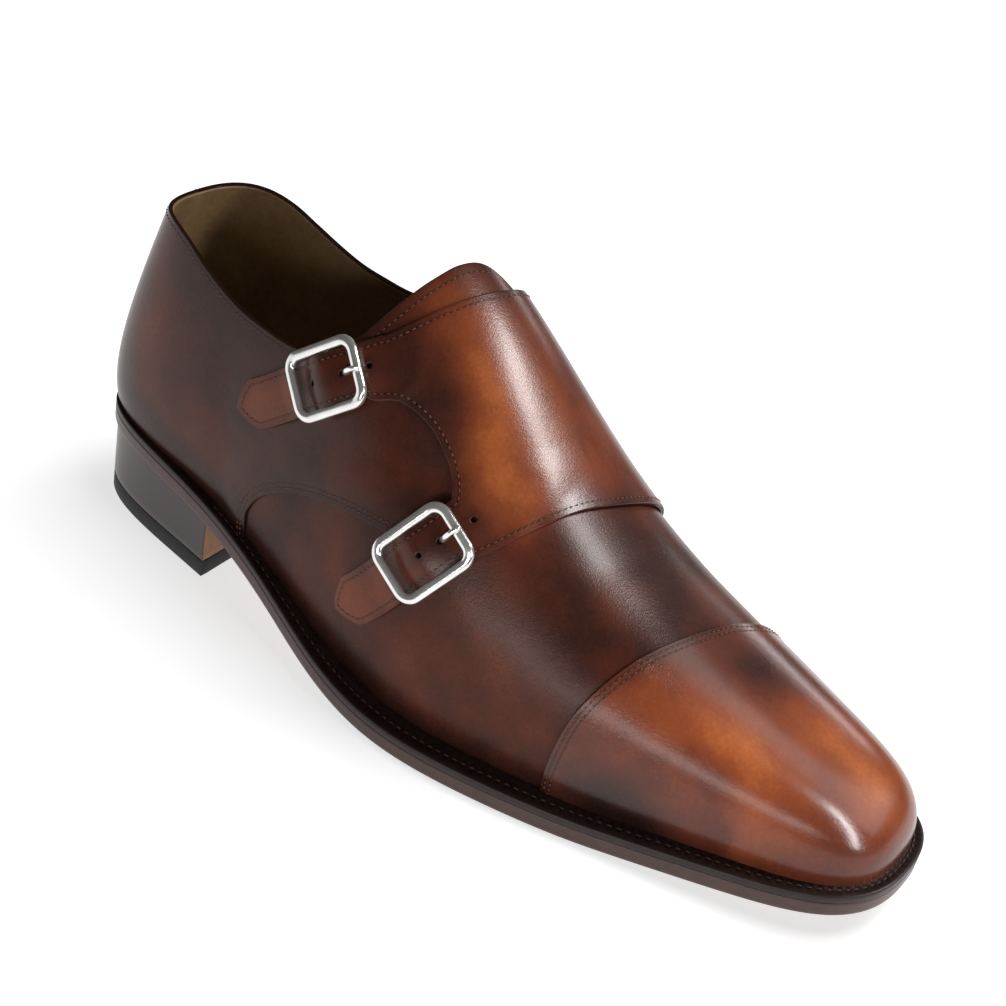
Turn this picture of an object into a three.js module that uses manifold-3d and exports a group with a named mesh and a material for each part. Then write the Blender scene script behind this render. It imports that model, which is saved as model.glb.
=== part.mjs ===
// A double monk strap shoe for the right foot, in millimetres.
// +X runs from heel to toe, +Y to the inner side of the foot, +Z up from the floor.
// Everything follows the last, the foot form that the shoe is made over: the upper, tongue, toe cap
// and straps are layers at stated levels above its skin, and sole, welt and heel follow its edge.
import * as THREE from "three";
import { mergeVertices } from "three/addons/utils/BufferGeometryUtils.js";
import Module from "manifold-3d";

const wasm = await Module();
wasm.setup();

// ---------------------------------------------------------------- driving dimensions
const CENTRE = { x: 152.7, y: -2.6 }; // middle of the shoe's length and width, moved to the origin
const GAP = 0.3; // clearance between neighbouring pieces
const OUTSOLE = 4.9; // thickness of the leather outsole
const WELT = 2.3; // thickness of the welt
const INSOLE = 2.5; // thickness of the insole
const LINED_UPPER = 2.0; // wall of vamp and quarters with their lining
const CAP = 1.1; // thickness of the toe cap leather
const FLAP = 2.0; // thickness of the flap with its straps
const HEEL_BREAST = 71; // x of the heel's front face
const HEEL_INSET = 1.0; // how far the heel stands in from the edge of the sole
const TOP_PIECE = 6.0; // thickness of the rubber top piece under the heel
const SKIRT = -20; // height at which a form ends below the sole
const AROUND = 64; // facets around the last
const UP = 11; // facets from the last's bottom edge to its ridge

// The last, a row for each station from heel to toe. The two widths are measured from the centre
// line. Each section rises from the bottom edge to a point on the ridge, whose place is "ridge":
// tuck and swell are how far the bottom edge draws in and the side bulges, low and high are the
// heights of the bulge and of the shoulder as shares of the section, shoulder and crown are the
// shoulder's and the crown's reach as shares of the width, and the edges are the sole's margins.
const COLUMNS = ["x", "outer", "inner", "ridge", "tuck", "swell", "low", "shoulder", "high", "crown",
  "outerEdge", "innerEdge"];
const STATIONS = [
  [2, 0, 0, 66, 9, 5.9, 0.19, 0.38, 0.89, 0.7, 2, 2], // heel back
  [4.5, 25, 25.5, 66, 8, 5.9, 0.19, 0.38, 0.89, 0.7, 2, 2], // heel corner
  [36, 33, 32, 66, 5, 3.3, 0.21, 0.4, 0.86, 0.66, 2.4, 2.2], // heel
  [72, 36, 31, 76, 5, 1.7, 0.25, 0.51, 0.81, 0.66, 4.5, 3], // seat
  [110, 42, 31, 110, 5, 0, 0.3, 0.73, 0.73, 0.57, 5.5, 3.5], // waist
  [150, 52, 40, 150, 6, -0.5, 0.34, 0.76, 0.79, 0.48, 9, 5], // joint
  [190, 47, 46.5, 190, 6, -1, 0.4, 0.79, 0.91, 0.46, 8.8, 7.5], // ball
  [228, 36, 44, 222, 5, -1, 0.42, 0.81, 0.99, 0.46, 8.2, 8], // cap
  [262, 26, 35, 244, 4, -1, 0.43, 0.84, 1.01, 0.48, 7.5, 7.5], // toe
  [293, 16, 25, 256, 3.5, -1, 0.46, 0.86, 1.03, 0.5, 5.5, 5.5], // toe corner
  [296, 2, 3, 258, 3.5, -1, 0.46, 0.86, 1.03, 0.5, 5, 5], // toe tip
];

// Heights along the shoe at even steps in x: the ridge of the last, and the outsole's underside.
const RIDGE = { start: -10, step: 25,
  heights: [158, 156, 153, 147.5, 141, 131, 114, 89.5, 67, 53.5, 44.5, 37.5, 31, 25, 19] };
const UNDERSIDE = { start: -40, step: 20,
  heights: [27.2, 27.2, 27, 26, 24.5, 22.5, 19, 13, 6.2, 2, 0, 0, 0, 0, 2, 4, 6.2, 9.5, 14, 18.5] };

// Style lines. A side line is a list of [x, z] seen from the side, a plan line of [x, y] from above.
const TOPLINE = [[8, 102], [18, 103], [30, 103], [40, 101], [49, 97.5], [59, 94], [69, 91.6],
  [79, 90.9], [88, 90.8], [96, 92], [104, 94.6], [112, 98]];
const THROAT = [[122, 102], [136, 103], [150, 97], [160, 91], [168, 86.5], [171, 84]];
const TONGUE_TOP = [[128, 130], [124.5, 124], [121, 117], [117, 108], [114, 101.5]];
const TONGUE_EDGE = [[122, 103.3], [136, 104.3], [150, 98.4], [160, 92.4], [167, 88.4]];
const FLAP_OUTER = [[135, 123], [131, 119.8], [125, 112.6], [117.8, 105], [113.2, 101.6],
  [122.8, 90.2], [126, 92.9], [133, 95.5], [142, 93.5], [149.6, 88.4], [155.2, 82.3], [157, 77.8],
  [154.4, 73.6], [167.7, 65.1], [170.8, 68.7], [174.5, 73.2], [178.8, 77.6], [181.7, 79.2]];
const FLAP_INNER = [[135, 0], [135.9, 5], [135.4, 13], [131, 21], [123, 29], [108, 36], [108, 60],
  [190, 60], [188, 30], [187.5, 21], [186, 14], [183.5, 0]];
const FLAP_FRONT = 183.5; // where the flap's front edge crosses the ridge
// Where the flap ends on the inner side, as a side line.
const FLAP_ROOT = [[192, 160], [192, 76], [172, 63], [158, 58], [140, 58], [122, 64], [111, 74],
  [111, 160]];
const CAP_SEAM = [[196, -60], [206.5, -41], [214.3, -28], [220.3, -11], [224.8, 8], [228.5, 20],
  [231, 35], [231, 60]];

// The straps, along their middle as a side line, with the buckle at the third point.
const STRAPS = {
  upper: { line: [[124.5, 101.6], [119.5, 97.6], [110.3, 90.5], [98, 81], [88, 72.8], [78.4, 66]],
    angle: 39.7 },
  lower: { line: [[165.4, 76.4], [162, 71.2], [156.1, 61.3], [148.5, 50], [141, 39.6], [133, 31]],
    angle: 57.8 },
};
const STRAP_HALF = 7.0; // half the width of a strap
const STRAP = 1.6; // its thickness past the flap
const STRAP_REST = 3.5; // level of its underside beside the buckle
const STRAP_CROWN = 6.5; // level of its underside over the middle bar
const STRAP_FLAT = 11.5; // how far from the bar it lies flat again
const STRAP_JOIN = 3; // length over which it then sinks to the flap
const STRAP_SUNK = 0.2; // how far its underside starts inside the flap there
const POINT = { length: 8.5, tip: 0.22, roundness: 0.8 }; // the strap's end; tip is a share of the width
// The tab that holds the buckle: its thickness, where it starts, and how far its end stops short.
const TAB = { thickness: 0.9, start: 26, short: 2.5 };
const BUCKLE = { length: 27, width: 20.9, wire: 3.1, height: 2.3, corner: 3.9, level: 7.1 };
const BAR = { radius: 0.8, level: 4.5, bend: 1.1, straight: 2, rise: 0.3 };
const PRONG = { radius: 0.7, line: [[-2.2, 4.1], [-4.2, 4.1], [-6.2, 5.3], [-7.6, 7.1],
  [-9.4, 8.6], [-11.6, 9.35], [-13.2, 9.3], [-14.4, 8.9]] };
const HOLE = { at: -6.5, radius: 2.5, from: -6, to: 20 };
// Planes that lie well outside the shoe on each side, where cutting shapes end.
const OUTSIDE = { back: -30, front: 340, side: 120, below: -60, above: 200 };

// ---------------------------------------------------------------- the last
function blend(values, f) {
  const g = 1 - f;
  const weights = [g ** 3, 3 * f ** 3 - 6 * f * f + 4, 3 * g ** 3 - 6 * g * g + 4, f ** 3];
  return weights.reduce((sum, weight, i) => sum + weight * values[i], 0) / 6;
}

function evenCurve(table, x) {
  const place = (x - table.start) / table.step;
  const first = Math.min(Math.max(Math.floor(place), 1), table.heights.length - 3);
  return blend(table.heights.slice(first - 1, first + 3), place - first);
}

const underside = (x) => evenCurve(UNDERSIDE, x);
const seat = (x) => underside(x) + OUTSOLE + GAP;

// The stations run down the outer side to the toe and back up the inner side, as one closed loop.
const LOOP = [...STATIONS, ...STATIONS.slice(1, -1).reverse()].map((values, i) => {
  const row = Object.fromEntries(COLUMNS.map((name, k) => [name, values[k]]));
  const innerSide = i >= STATIONS.length - 1;
  row.y = innerSide ? row.inner : -row.outer;
  row.edge = innerSide ? row.innerEdge : row.outerEdge;
  return row;
});

function around(name, t) {
  const place = (((t % 1) + 1) % 1) * LOOP.length;
  const first = Math.floor(place);
  const values = [-1, 0, 1, 2].map((k) => LOOP[(first + k + LOOP.length) % LOOP.length][name]);
  return blend(values, place - first);
}

// A point on the last: t goes around it from the heel, v up from the bottom edge to the ridge.
function lastPoint(t, v) {
  const x = around("x", t);
  const y = around("y", t);
  const ridge = around("ridge", t);
  const top = evenCurve(RIDGE, ridge);
  const slope = evenCurve(RIDGE, ridge + 0.5) - evenCurve(RIDGE, ridge - 0.5);
  const reach = Math.hypot(x - ridge, y);
  const [ux, uy] = [(x - ridge) / reach, y / reach];
  const bottom = seat(x);
  const rise = top - bottom;
  const crown = reach * around("crown", t);
  const out = [reach - around("tuck", t), reach + around("swell", t), reach * around("shoulder", t),
    crown, 0];
  const forwardDrop = slope * Math.max(ux, 0) * out[2]; // keeps the toe's top from hollowing
  const up = [bottom, bottom + around("low", t) * rise,
    bottom + around("high", t) * rise + forwardDrop, top + slope * ux * crown, top];
  const w = 1 - v;
  const shares = [w ** 4, 4 * v * w ** 3, 6 * v * v * w * w, 4 * v ** 3 * w, v ** 4];
  const mix = (values) => values.reduce((sum, value, i) => sum + value * shares[i], 0);
  return new THREE.Vector3(ridge + ux * mix(out), uy * mix(out), mix(up));
}

function lastNormal(t, v) {
  const step = 1e-3;
  if (v > 1 - 2 * step) {
    const ridge = around("ridge", t);
    const slope = evenCurve(RIDGE, ridge + 0.5) - evenCurve(RIDGE, ridge - 0.5);
    return new THREE.Vector3(-slope, 0, 1).normalize();
  }
  const inside = Math.max(v, step);
  const along = lastPoint(t + step, inside).sub(lastPoint(t - step, inside));
  const upward = lastPoint(t, inside + step).sub(lastPoint(t, inside - step));
  return along.cross(upward).normalize();
}

const onLast = (t, v, level) => lastPoint(t, v).addScaledVector(lastNormal(t, v), level);

// The place (t, v) on the last's outer side that shows at x, z in a side view.
function placeOnSide(x, z) {
  let [t, v] = [0.04 + x * 0.0014, 0.35];
  const step = 1e-4;
  for (let turn = 0; turn < 14; turn += 1) {
    const here = lastPoint(t, v);
    const byT = lastPoint(t + step, v).sub(here).divideScalar(step);
    const byV = lastPoint(t, v + step).sub(here).divideScalar(step);
    const size = byT.x * byV.z - byV.x * byT.z;
    const [missX, missZ] = [x - here.x, z - here.z];
    t += (missX * byV.z - missZ * byV.x) / size;
    v += (missZ * byT.x - missX * byT.z) / size;
    v = Math.min(Math.max(v, 0), 0.97);
  }
  return [t, v];
}

// ---------------------------------------------------------------- solids
function meshOf(points, faces) {
  const geometry = new THREE.BufferGeometry();
  geometry.setAttribute("position", new THREE.Float32BufferAttribute(
    points.flatMap((point) => point.toArray()), 3));
  geometry.setIndex(faces.flat());
  const merged = mergeVertices(geometry, 1e-3);
  const index = Array.from(merged.getIndex().array);
  const kept = [];
  for (let i = 0; i < index.length; i += 3) {
    const [a, b, c] = index.slice(i, i + 3);
    if (a !== b && b !== c && c !== a) kept.push(a, b, c);
  }
  merged.setIndex(kept);
  return merged;
}

function solid(geometry) {
  return new wasm.Manifold(new wasm.Mesh({
    numProp: 3,
    vertProperties: new Float32Array(geometry.getAttribute("position").array),
    triVerts: new Uint32Array(geometry.getIndex().array),
  }));
}

// Joins rings of points, bottom to top, into the faces of a tube. Ring points run anticlockwise.
function tubeFaces(rings, count, closed = false) {
  const faces = [];
  const last = closed ? rings : rings - 1;
  for (let ring = 0; ring < last; ring += 1) {
    const [low, high] = [ring * count, ((ring + 1) % rings) * count];
    for (let i = 0; i < count; i += 1) {
      const next = (i + 1) % count;
      faces.push([low + i, low + next, high + next], [low + i, high + next, high + i]);
    }
  }
  return faces;
}

// Closes a ring across the shoe, from each point to the one that mirrors it on the other side.
function acrossFaces(start, count, facesUp) {
  const faces = [];
  for (let i = 0; i < count / 2; i += 1) {
    const [a, b] = [start + i, start + i + 1];
    const [c, d] = [start + ((count - i - 1) % count), start + ((count - i) % count)];
    faces.push([a, b, c], [a, c, d]);
  }
  return facesUp ? faces : faces.map(([a, b, c]) => [a, c, b]);
}

// The whole form at a level above the last, closed over the ridge, with a skirt below the sole.
function form(level) {
  const points = [];
  for (let row = -1; row <= UP; row += 1) {
    for (let i = 0; i < AROUND; i += 1) {
      const point = onLast(i / AROUND, Math.max(row, 0) / UP, level);
      if (row < 0) point.z = SKIRT;
      points.push(point);
    }
  }
  const faces = [...tubeFaces(UP + 2, AROUND), ...acrossFaces(0, AROUND, false)];
  return solid(meshOf(points, faces));
}

const layer = (low, high) => form(high).subtract(form(low));

// The sole's outline at a share of the way around, drawn in by an inset.
function soleEdge(t, inset) {
  const step = 1e-3;
  const point = onLast(t, 0, LINED_UPPER);
  const along = onLast(t + step, 0, LINED_UPPER).sub(onLast(t - step, 0, LINED_UPPER));
  const out = new THREE.Vector3(along.y, -along.x, 0).normalize();
  return point.addScaledVector(out, around("edge", t) - inset);
}

// A flat piece with the sole's outline, between two heights that may change along the shoe.
function soleSolid(inset, low, high) {
  const outline = Array.from({ length: AROUND }, (_, i) => soleEdge(i / AROUND, inset));
  const ring = (height) => outline.map((p) => new THREE.Vector3(p.x, p.y, height(p.x)));
  const faces = [...tubeFaces(2, AROUND), ...acrossFaces(0, AROUND, false),
    ...acrossFaces(AROUND, AROUND, true)];
  return solid(meshOf([...ring(low), ...ring(high)], faces));
}

// A prism with an outline seen from the side, through the shoe from y = from to y = to.
function sidePrism(outline, from = -OUTSIDE.side, to = OUTSIDE.side) {
  const shape = new THREE.Shape(outline.map(([x, z]) => new THREE.Vector2(x, z)));
  const geometry = new THREE.ExtrudeGeometry(shape, { depth: to - from, bevelEnabled: false });
  return bareSolid(geometry.rotateX(Math.PI / 2).translate(0, to, 0));
}

// A prism with an outline seen from above, from z = from to z = to.
function planPrism(outline, from = OUTSIDE.below, to = OUTSIDE.above) {
  const shape = new THREE.Shape(outline.map(([x, y]) => new THREE.Vector2(x, y)));
  const geometry = new THREE.ExtrudeGeometry(shape, { depth: to - from, bevelEnabled: false });
  return bareSolid(geometry.translate(0, 0, from));
}

function bareSolid(geometry) {
  geometry.deleteAttribute("normal");
  geometry.deleteAttribute("uv");
  return solid(mergeVertices(geometry, 1e-3));
}

// The side outline of everything between two heights, from one end of the shoe to the other.
function band(low, high, from = OUTSIDE.back, to = OUTSIDE.front) {
  const step = 6;
  const count = Math.ceil((to - from) / step);
  const xs = Array.from({ length: count + 1 }, (_, i) => from + ((to - from) * i) / count);
  return [...xs.map((x) => [x, low(x)]), ...xs.reverse().map((x) => [x, high(x)])];
}

const smooth = (line, count) => new THREE.SplineCurve(line.map(([x, z]) => new THREE.Vector2(x, z)))
  .getPoints(count).map((point) => [point.x, point.y]);

// ---------------------------------------------------------------- sole and heel
const always = (height) => () => height;

const outsole = () => soleSolid(0, underside, (x) => underside(x) + OUTSOLE);

const welt = () => soleSolid(0, seat, (x) => seat(x) + WELT).subtract(form(LINED_UPPER + GAP));

function heelBlock(low, high) {
  const block = soleSolid(HEEL_INSET, always(OUTSIDE.below), always(OUTSIDE.above));
  return block.intersect(sidePrism(band(low, high, OUTSIDE.back, HEEL_BREAST)));
}

const heelTopPiece = () => heelBlock(always(0), always(TOP_PIECE));
const heelStack = () => heelBlock(always(TOP_PIECE + GAP), (x) => underside(x) - GAP);

const insole = () => form(-GAP).intersect(sidePrism(band(seat, (x) => seat(x) + INSOLE)));

// ---------------------------------------------------------------- upper
function openings() {
  const { back, above } = OUTSIDE;
  const line = smooth([...TOPLINE, ...THROAT], 34);
  const end = line[line.length - 1];
  return sidePrism([[back, TOPLINE[0][1]], ...line, [end[0] + 1, above], [back, above]]);
}

const belowSeat = () => sidePrism(band(always(OUTSIDE.below), seat));

const upper = () => layer(0, LINED_UPPER).subtract(belowSeat()).subtract(openings());

function tongue() {
  const outline = [[168, 140], [128, 140], ...smooth(TONGUE_TOP, 8), ...smooth(TONGUE_EDGE, 10)];
  return layer(0, LINED_UPPER).intersect(sidePrism(outline));
}

function toeCap() {
  const low = LINED_UPPER + GAP;
  const [first, last] = [CAP_SEAM[0], CAP_SEAM[CAP_SEAM.length - 1]];
  const ahead = planPrism([...smooth(CAP_SEAM, 14), [OUTSIDE.front, last[1]],
    [OUTSIDE.front, first[1]]].reverse());
  const aboveWelt = sidePrism(band((x) => seat(x) + WELT + GAP, always(OUTSIDE.above)));
  return layer(low, low + CAP).intersect(ahead).intersect(aboveWelt);
}

// ---------------------------------------------------------------- straps
// A strip laid on the outer side along a side line. Its level and half width follow the distance
// from the buckle, which is negative towards the instep and positive towards the tip.
function strip(strap, fromEnd, toEnd, levels, half, stations) {
  const route = new THREE.SplineCurve(strap.line.map(([x, z]) => new THREE.Vector2(x, z)));
  const length = route.getLength();
  const middle = distanceToBuckle(route, strap);
  const columns = 4;
  const rings = [];
  for (let i = 0; i <= stations; i += 1) {
    const along = fromEnd + ((length - toEnd - fromEnd) * i) / stations;
    const centre = route.getPointAt(along / length);
    const ahead = route.getTangentAt(along / length);
    const [low, high] = levels(along - middle);
    const side = (share, level) => {
      const reach = share * half(length - toEnd - along);
      const [t, v] = placeOnSide(centre.x + ahead.y * reach, centre.y - ahead.x * reach);
      return onLast(t, v, level);
    };
    const shares = Array.from({ length: columns + 1 }, (_, k) => (2 * k) / columns - 1);
    rings.push([...shares.map((share) => side(share, low)),
      ...shares.reverse().map((share) => side(share, high))]);
  }
  return ringsSolid(rings);
}

// How far along the route the buckle sits, found by stepping along it.
function distanceToBuckle(route, strap) {
  const [x, z] = strap.line[2];
  const target = new THREE.Vector2(x, z);
  const steps = 400;
  const gaps = Array.from({ length: steps }, (_, i) => route.getPointAt(i / steps).distanceTo(target));
  return (gaps.indexOf(Math.min(...gaps)) / steps) * route.getLength();
}

// A closed solid from rings of equal size, with flat ends.
function ringsSolid(rings, closed = false) {
  const count = rings[0].length;
  const faces = tubeFaces(rings.length, count, closed);
  const end = (rings.length - 1) * count;
  if (!closed) {
    for (let i = 0; i < count / 2 - 1; i += 1) {
      const [a, b, c, d] = [i, i + 1, count - 2 - i, count - 1 - i];
      faces.push([a, c, b], [a, d, c], [end + a, end + b, end + c], [end + a, end + c, end + d]);
    }
  }
  const made = solid(meshOf(rings.flat(), faces));
  if (made.volume() > 0) return made;
  return solid(meshOf(rings.flat(), faces.map(([a, b, c]) => [a, c, b])));
}

// The buckle's own frame on the shoe: along the strap to its tip, across it and out of the leather.
function buckleFrame({ line, angle }) {
  const [t, v] = placeOnSide(...line[2]);
  const out = lastNormal(t, v);
  const back = new THREE.Vector3(-1, 0, 0).addScaledVector(out, out.x).normalize();
  const up = new THREE.Vector3().crossVectors(back, out).normalize();
  if (up.z < 0) up.negate();
  const turn = THREE.MathUtils.degToRad(angle);
  const along = back.clone().multiplyScalar(Math.cos(turn)).addScaledVector(up, -Math.sin(turn));
  const across = back.multiplyScalar(Math.sin(turn)).addScaledVector(up, Math.cos(turn));
  const origin = lastPoint(t, v);
  const at = (u, w, level) => origin.clone().addScaledVector(along, u).addScaledVector(across, w)
    .addScaledVector(out, level);
  return { at, along, across, out };
}

// A wire along points in a buckle's frame, with an oval section that keeps upright.
function wire(points, out, halfWidth, halfHeight, closed) {
  const sides = 8;
  const count = points.length;
  const rings = points.map((point, i) => {
    const before = points[closed ? (i + count - 1) % count : Math.max(i - 1, 0)];
    const after = points[closed ? (i + 1) % count : Math.min(i + 1, count - 1)];
    const along = after.clone().sub(before).normalize();
    const side = along.clone().cross(out).normalize();
    const up = side.clone().cross(along).normalize();
    return Array.from({ length: sides }, (_, k) => {
      const turn = (2 * Math.PI * (k + 0.5)) / sides;
      return point.clone().addScaledVector(side, Math.cos(turn) * halfWidth)
        .addScaledVector(up, Math.sin(turn) * halfHeight);
    });
  });
  return ringsSolid(rings, closed);
}

function buckleRing(frame) {
  const { length, width, wire: thick, height, corner, level } = BUCKLE;
  const [halfLength, halfWidth] = [(length - thick) / 2, (width - thick) / 2];
  const perCorner = 5;
  const points = [];
  for (let quarter = 0; quarter < 4; quarter += 1) {
    const turn = (quarter * Math.PI) / 2;
    const [su, sw] = [Math.sign(Math.cos(turn + Math.PI / 4)), Math.sign(Math.sin(turn + Math.PI / 4))];
    for (let i = 0; i < perCorner; i += 1) {
      const angle = turn + (i * Math.PI) / 2 / (perCorner - 1);
      points.push(frame.at(su * (halfLength - corner) + corner * Math.cos(angle),
        sw * (halfWidth - corner) + corner * Math.sin(angle), level));
    }
  }
  const ring = wire(points, frame.out, thick / 2, height / 2, true);
  const [bend, straight] = [halfWidth - BAR.bend, halfWidth - BAR.straight];
  const bar = [[-halfWidth, level], [-bend, BAR.level + BAR.rise], [-straight, BAR.level],
    [straight, BAR.level], [bend, BAR.level + BAR.rise], [halfWidth, level]];
  const barPoints = bar.map(([across, above]) => frame.at(0, across, above));
  return ring.add(wire(barPoints, frame.along, BAR.radius, BAR.radius, false));
}

const prong = (frame) => wire(PRONG.line.map(([u, level]) => frame.at(u, 0, level)), frame.across,
  PRONG.radius, PRONG.radius, false);

// A strap's rounded point: full width, then a curve that closes on the tip.
const pointed = (toTip) => {
  const share = Math.min(Math.max(toTip / POINT.length, 0), 1);
  const opening = Math.sin((share * Math.PI) / 2) ** POINT.roundness;
  return STRAP_HALF * (POINT.tip + (1 - POINT.tip) * opening);
};

// The strap leaves the flap, passes under one side of the buckle, over its bar and under the other.
function strapSolid(strap) {
  const inFlap = LINED_UPPER + GAP + STRAP_SUNK;
  const levels = (away) => {
    const share = Math.min(Math.abs(away) / STRAP_FLAT, 1);
    const crown = (STRAP_CROWN - STRAP_REST) * (1 + Math.cos(Math.PI * share)) / 2;
    const joined = Math.min(Math.max((-STRAP_FLAT - away) / STRAP_JOIN, 0), 1);
    const low = STRAP_REST + crown - joined * (STRAP_REST - inFlap);
    return [low, low + STRAP];
  };
  const frame = buckleFrame(strap);
  const drillLine = [frame.at(HOLE.at, 0, HOLE.from), frame.at(HOLE.at, 0, HOLE.to)];
  const drill = wire(drillLine, frame.along, HOLE.radius, HOLE.radius, false);
  return strip(strap, 0, 0, levels, pointed, 22).subtract(drill);
}

function tab(strap) {
  const low = LINED_UPPER + GAP;
  return strip(strap, TAB.start, TAB.short, () => [low, low + TAB.thickness], pointed, 8);
}

function strapPanel() {
  const low = LINED_UPPER + GAP;
  const [start, end] = [FLAP_OUTER[0], FLAP_OUTER[FLAP_OUTER.length - 1]];
  const outerLine = [[start[0], OUTSIDE.above], ...FLAP_OUTER, [FLAP_FRONT, end[1]],
    [FLAP_FRONT, OUTSIDE.above]];
  const outerSide = sidePrism(outerLine.reverse(), -OUTSIDE.side, 0);
  const innerSide = planPrism(FLAP_INNER).intersect(sidePrism(FLAP_ROOT));
  const flap = layer(low, low + FLAP).intersect(outerSide.add(innerSide));
  return flap.add(strapSolid(STRAPS.upper)).add(strapSolid(STRAPS.lower));
}

// ---------------------------------------------------------------- materials
const finish = (color, roughness, metalness = 0) =>
  new THREE.MeshStandardMaterial({ color, roughness, metalness });
const brownCalf = finish(0x4a2118, 0.28);
const chestnutCalf = finish(0x8a4218, 0.26);
const soleLeather = finish(0x2c211c, 0.42);
const weltLeather = finish(0x1d1512, 0.5);
const heelLeather = finish(0x251b18, 0.35);
const rubber = finish(0x17181a, 0.7);
const insoleLeather = finish(0xa8794a, 0.55);
const silver = finish(0xd4d2cc, 0.15, 1);

// ---------------------------------------------------------------- the shoe
const shoe = new THREE.Group();

function addPiece(name, manifold, material) {
  const { vertProperties, triVerts } = manifold.getMesh();
  const geometry = new THREE.BufferGeometry();
  geometry.setAttribute("position", new THREE.Float32BufferAttribute(vertProperties, 3));
  geometry.setIndex(Array.from(triVerts));
  geometry.computeVertexNormals();
  const piece = new THREE.Mesh(geometry, material);
  piece.name = name;
  shoe.add(piece);
}

addPiece("outsole", outsole(), soleLeather);
addPiece("welt", welt(), weltLeather);
addPiece("heel_stack", heelStack(), heelLeather);
addPiece("heel_top_piece", heelTopPiece(), rubber);
addPiece("insole", insole(), insoleLeather);
addPiece("upper", upper(), brownCalf);
addPiece("tongue", tongue(), brownCalf);
addPiece("toe_cap", toeCap(), chestnutCalf);
addPiece("strap_flap", strapPanel(), chestnutCalf);
for (const [place, strap] of Object.entries(STRAPS)) {
  const frame = buckleFrame(strap);
  addPiece(`buckle_tab_${place}`, tab(strap), brownCalf);
  addPiece(`buckle_${place}`, buckleRing(frame), silver);
  addPiece(`prong_${place}`, prong(frame), silver);
}

shoe.position.set(-CENTRE.x, -CENTRE.y, 0);
const group = new THREE.Group();
group.add(shoe);

export default group;
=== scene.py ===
# %% [markdown]
# # A double monk strap shoe
# A shoemaker pulls leather over a wooden last, the form of a foot, and every line of the shoe is
# drawn on that form. This lesson works the same way. One function gives any point on the last,
# each piece of leather is a sheet laid at its own level above it, and its outline is cut with
# scissors that follow a pattern. It could also be sculpted by hand, but then seams, straps and
# sole would have to be fitted to each other again after each change.

# %% Load the frame
import math

import bpy
import numpy as np
from mathutils import Matrix, Quaternion, Vector, kdtree


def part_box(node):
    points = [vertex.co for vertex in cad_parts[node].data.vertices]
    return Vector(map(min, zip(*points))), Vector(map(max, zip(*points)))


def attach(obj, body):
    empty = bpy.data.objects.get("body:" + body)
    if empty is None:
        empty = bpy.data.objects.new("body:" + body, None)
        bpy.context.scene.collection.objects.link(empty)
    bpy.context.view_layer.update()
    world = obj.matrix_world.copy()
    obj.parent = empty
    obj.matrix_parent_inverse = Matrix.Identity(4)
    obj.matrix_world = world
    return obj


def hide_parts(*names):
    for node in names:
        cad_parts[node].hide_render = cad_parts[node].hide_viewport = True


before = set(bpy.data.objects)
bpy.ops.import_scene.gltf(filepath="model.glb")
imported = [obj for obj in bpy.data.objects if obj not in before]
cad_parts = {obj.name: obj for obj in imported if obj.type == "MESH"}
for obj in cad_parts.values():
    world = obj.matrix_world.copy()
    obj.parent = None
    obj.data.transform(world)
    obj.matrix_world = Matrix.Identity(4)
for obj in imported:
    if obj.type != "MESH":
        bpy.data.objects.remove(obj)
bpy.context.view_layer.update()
print("nodes in the frame:", ", ".join(sorted(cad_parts)))

# %% [markdown]
# ## Units and axes
# Patterns are drawn in the shoe's own millimetres: x from the back of the heel to the toe, y to
# the inner side of the foot, z up from the floor. The frame is in metres about the middle of the
# shoe, so one helper turns the one into the other.

# %% Units
CENTRE = np.array([152.7, -2.6, 0.0])  # middle of the shoe's length and width
METRE = 0.001


def to_frame(points):
    return (np.asarray(points, float) - CENTRE) * METRE


_, heel_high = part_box("heel_top_piece")
print("heel from the floor up to", round(heel_high.z / METRE, 1), "mm")

# %% [markdown]
# ## The last
# A last is described by sections. Each row below is one station from heel to toe: how far it
# reaches to each side, where on the ridge its curve ends, how much it tucks in at the sole and
# swells above it, and how wide its shoulder and crown are. A smooth closed curve runs through the
# stations, down the outer side and back up the inner side, so that t goes once around the shoe
# and v climbs from the sole's edge to the ridge. A subdivided box could be pushed into a similar
# shape, but sections keep the real sizes readable.

# %% Stations of the last
COLUMNS = ["x", "outer", "inner", "ridge", "tuck", "swell", "low", "shoulder", "high", "crown",
           "outer_edge", "inner_edge"]
STATIONS = [
    [2, 0, 0, 66, 9, 5.9, 0.19, 0.38, 0.89, 0.7, 2, 2],  # heel back
    [4.5, 25, 25.5, 66, 8, 5.9, 0.19, 0.38, 0.89, 0.7, 2, 2],  # heel corner
    [36, 33, 32, 66, 5, 3.3, 0.21, 0.4, 0.86, 0.66, 2.4, 2.2],  # heel
    [72, 36, 31, 76, 5, 1.7, 0.25, 0.51, 0.81, 0.66, 4.5, 3],  # seat
    [110, 42, 31, 110, 5, 0, 0.3, 0.73, 0.73, 0.57, 5.5, 3.5],  # waist
    [150, 52, 40, 150, 6, -0.5, 0.34, 0.76, 0.79, 0.48, 9, 5],  # joint
    [190, 47, 46.5, 190, 6, -1, 0.4, 0.79, 0.91, 0.46, 8.8, 7.5],  # ball
    [228, 36, 44, 222, 5, -1, 0.42, 0.81, 0.99, 0.46, 8.2, 8],  # cap
    [262, 26, 35, 244, 4, -1, 0.43, 0.84, 1.01, 0.48, 7.5, 7.5],  # toe
    [293, 16, 25, 256, 3.5, -1, 0.46, 0.86, 1.03, 0.5, 5.5, 5.5],  # toe corner
    [296, 2, 3, 258, 3.5, -1, 0.46, 0.86, 1.03, 0.5, 5, 5],  # toe tip
]
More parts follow.
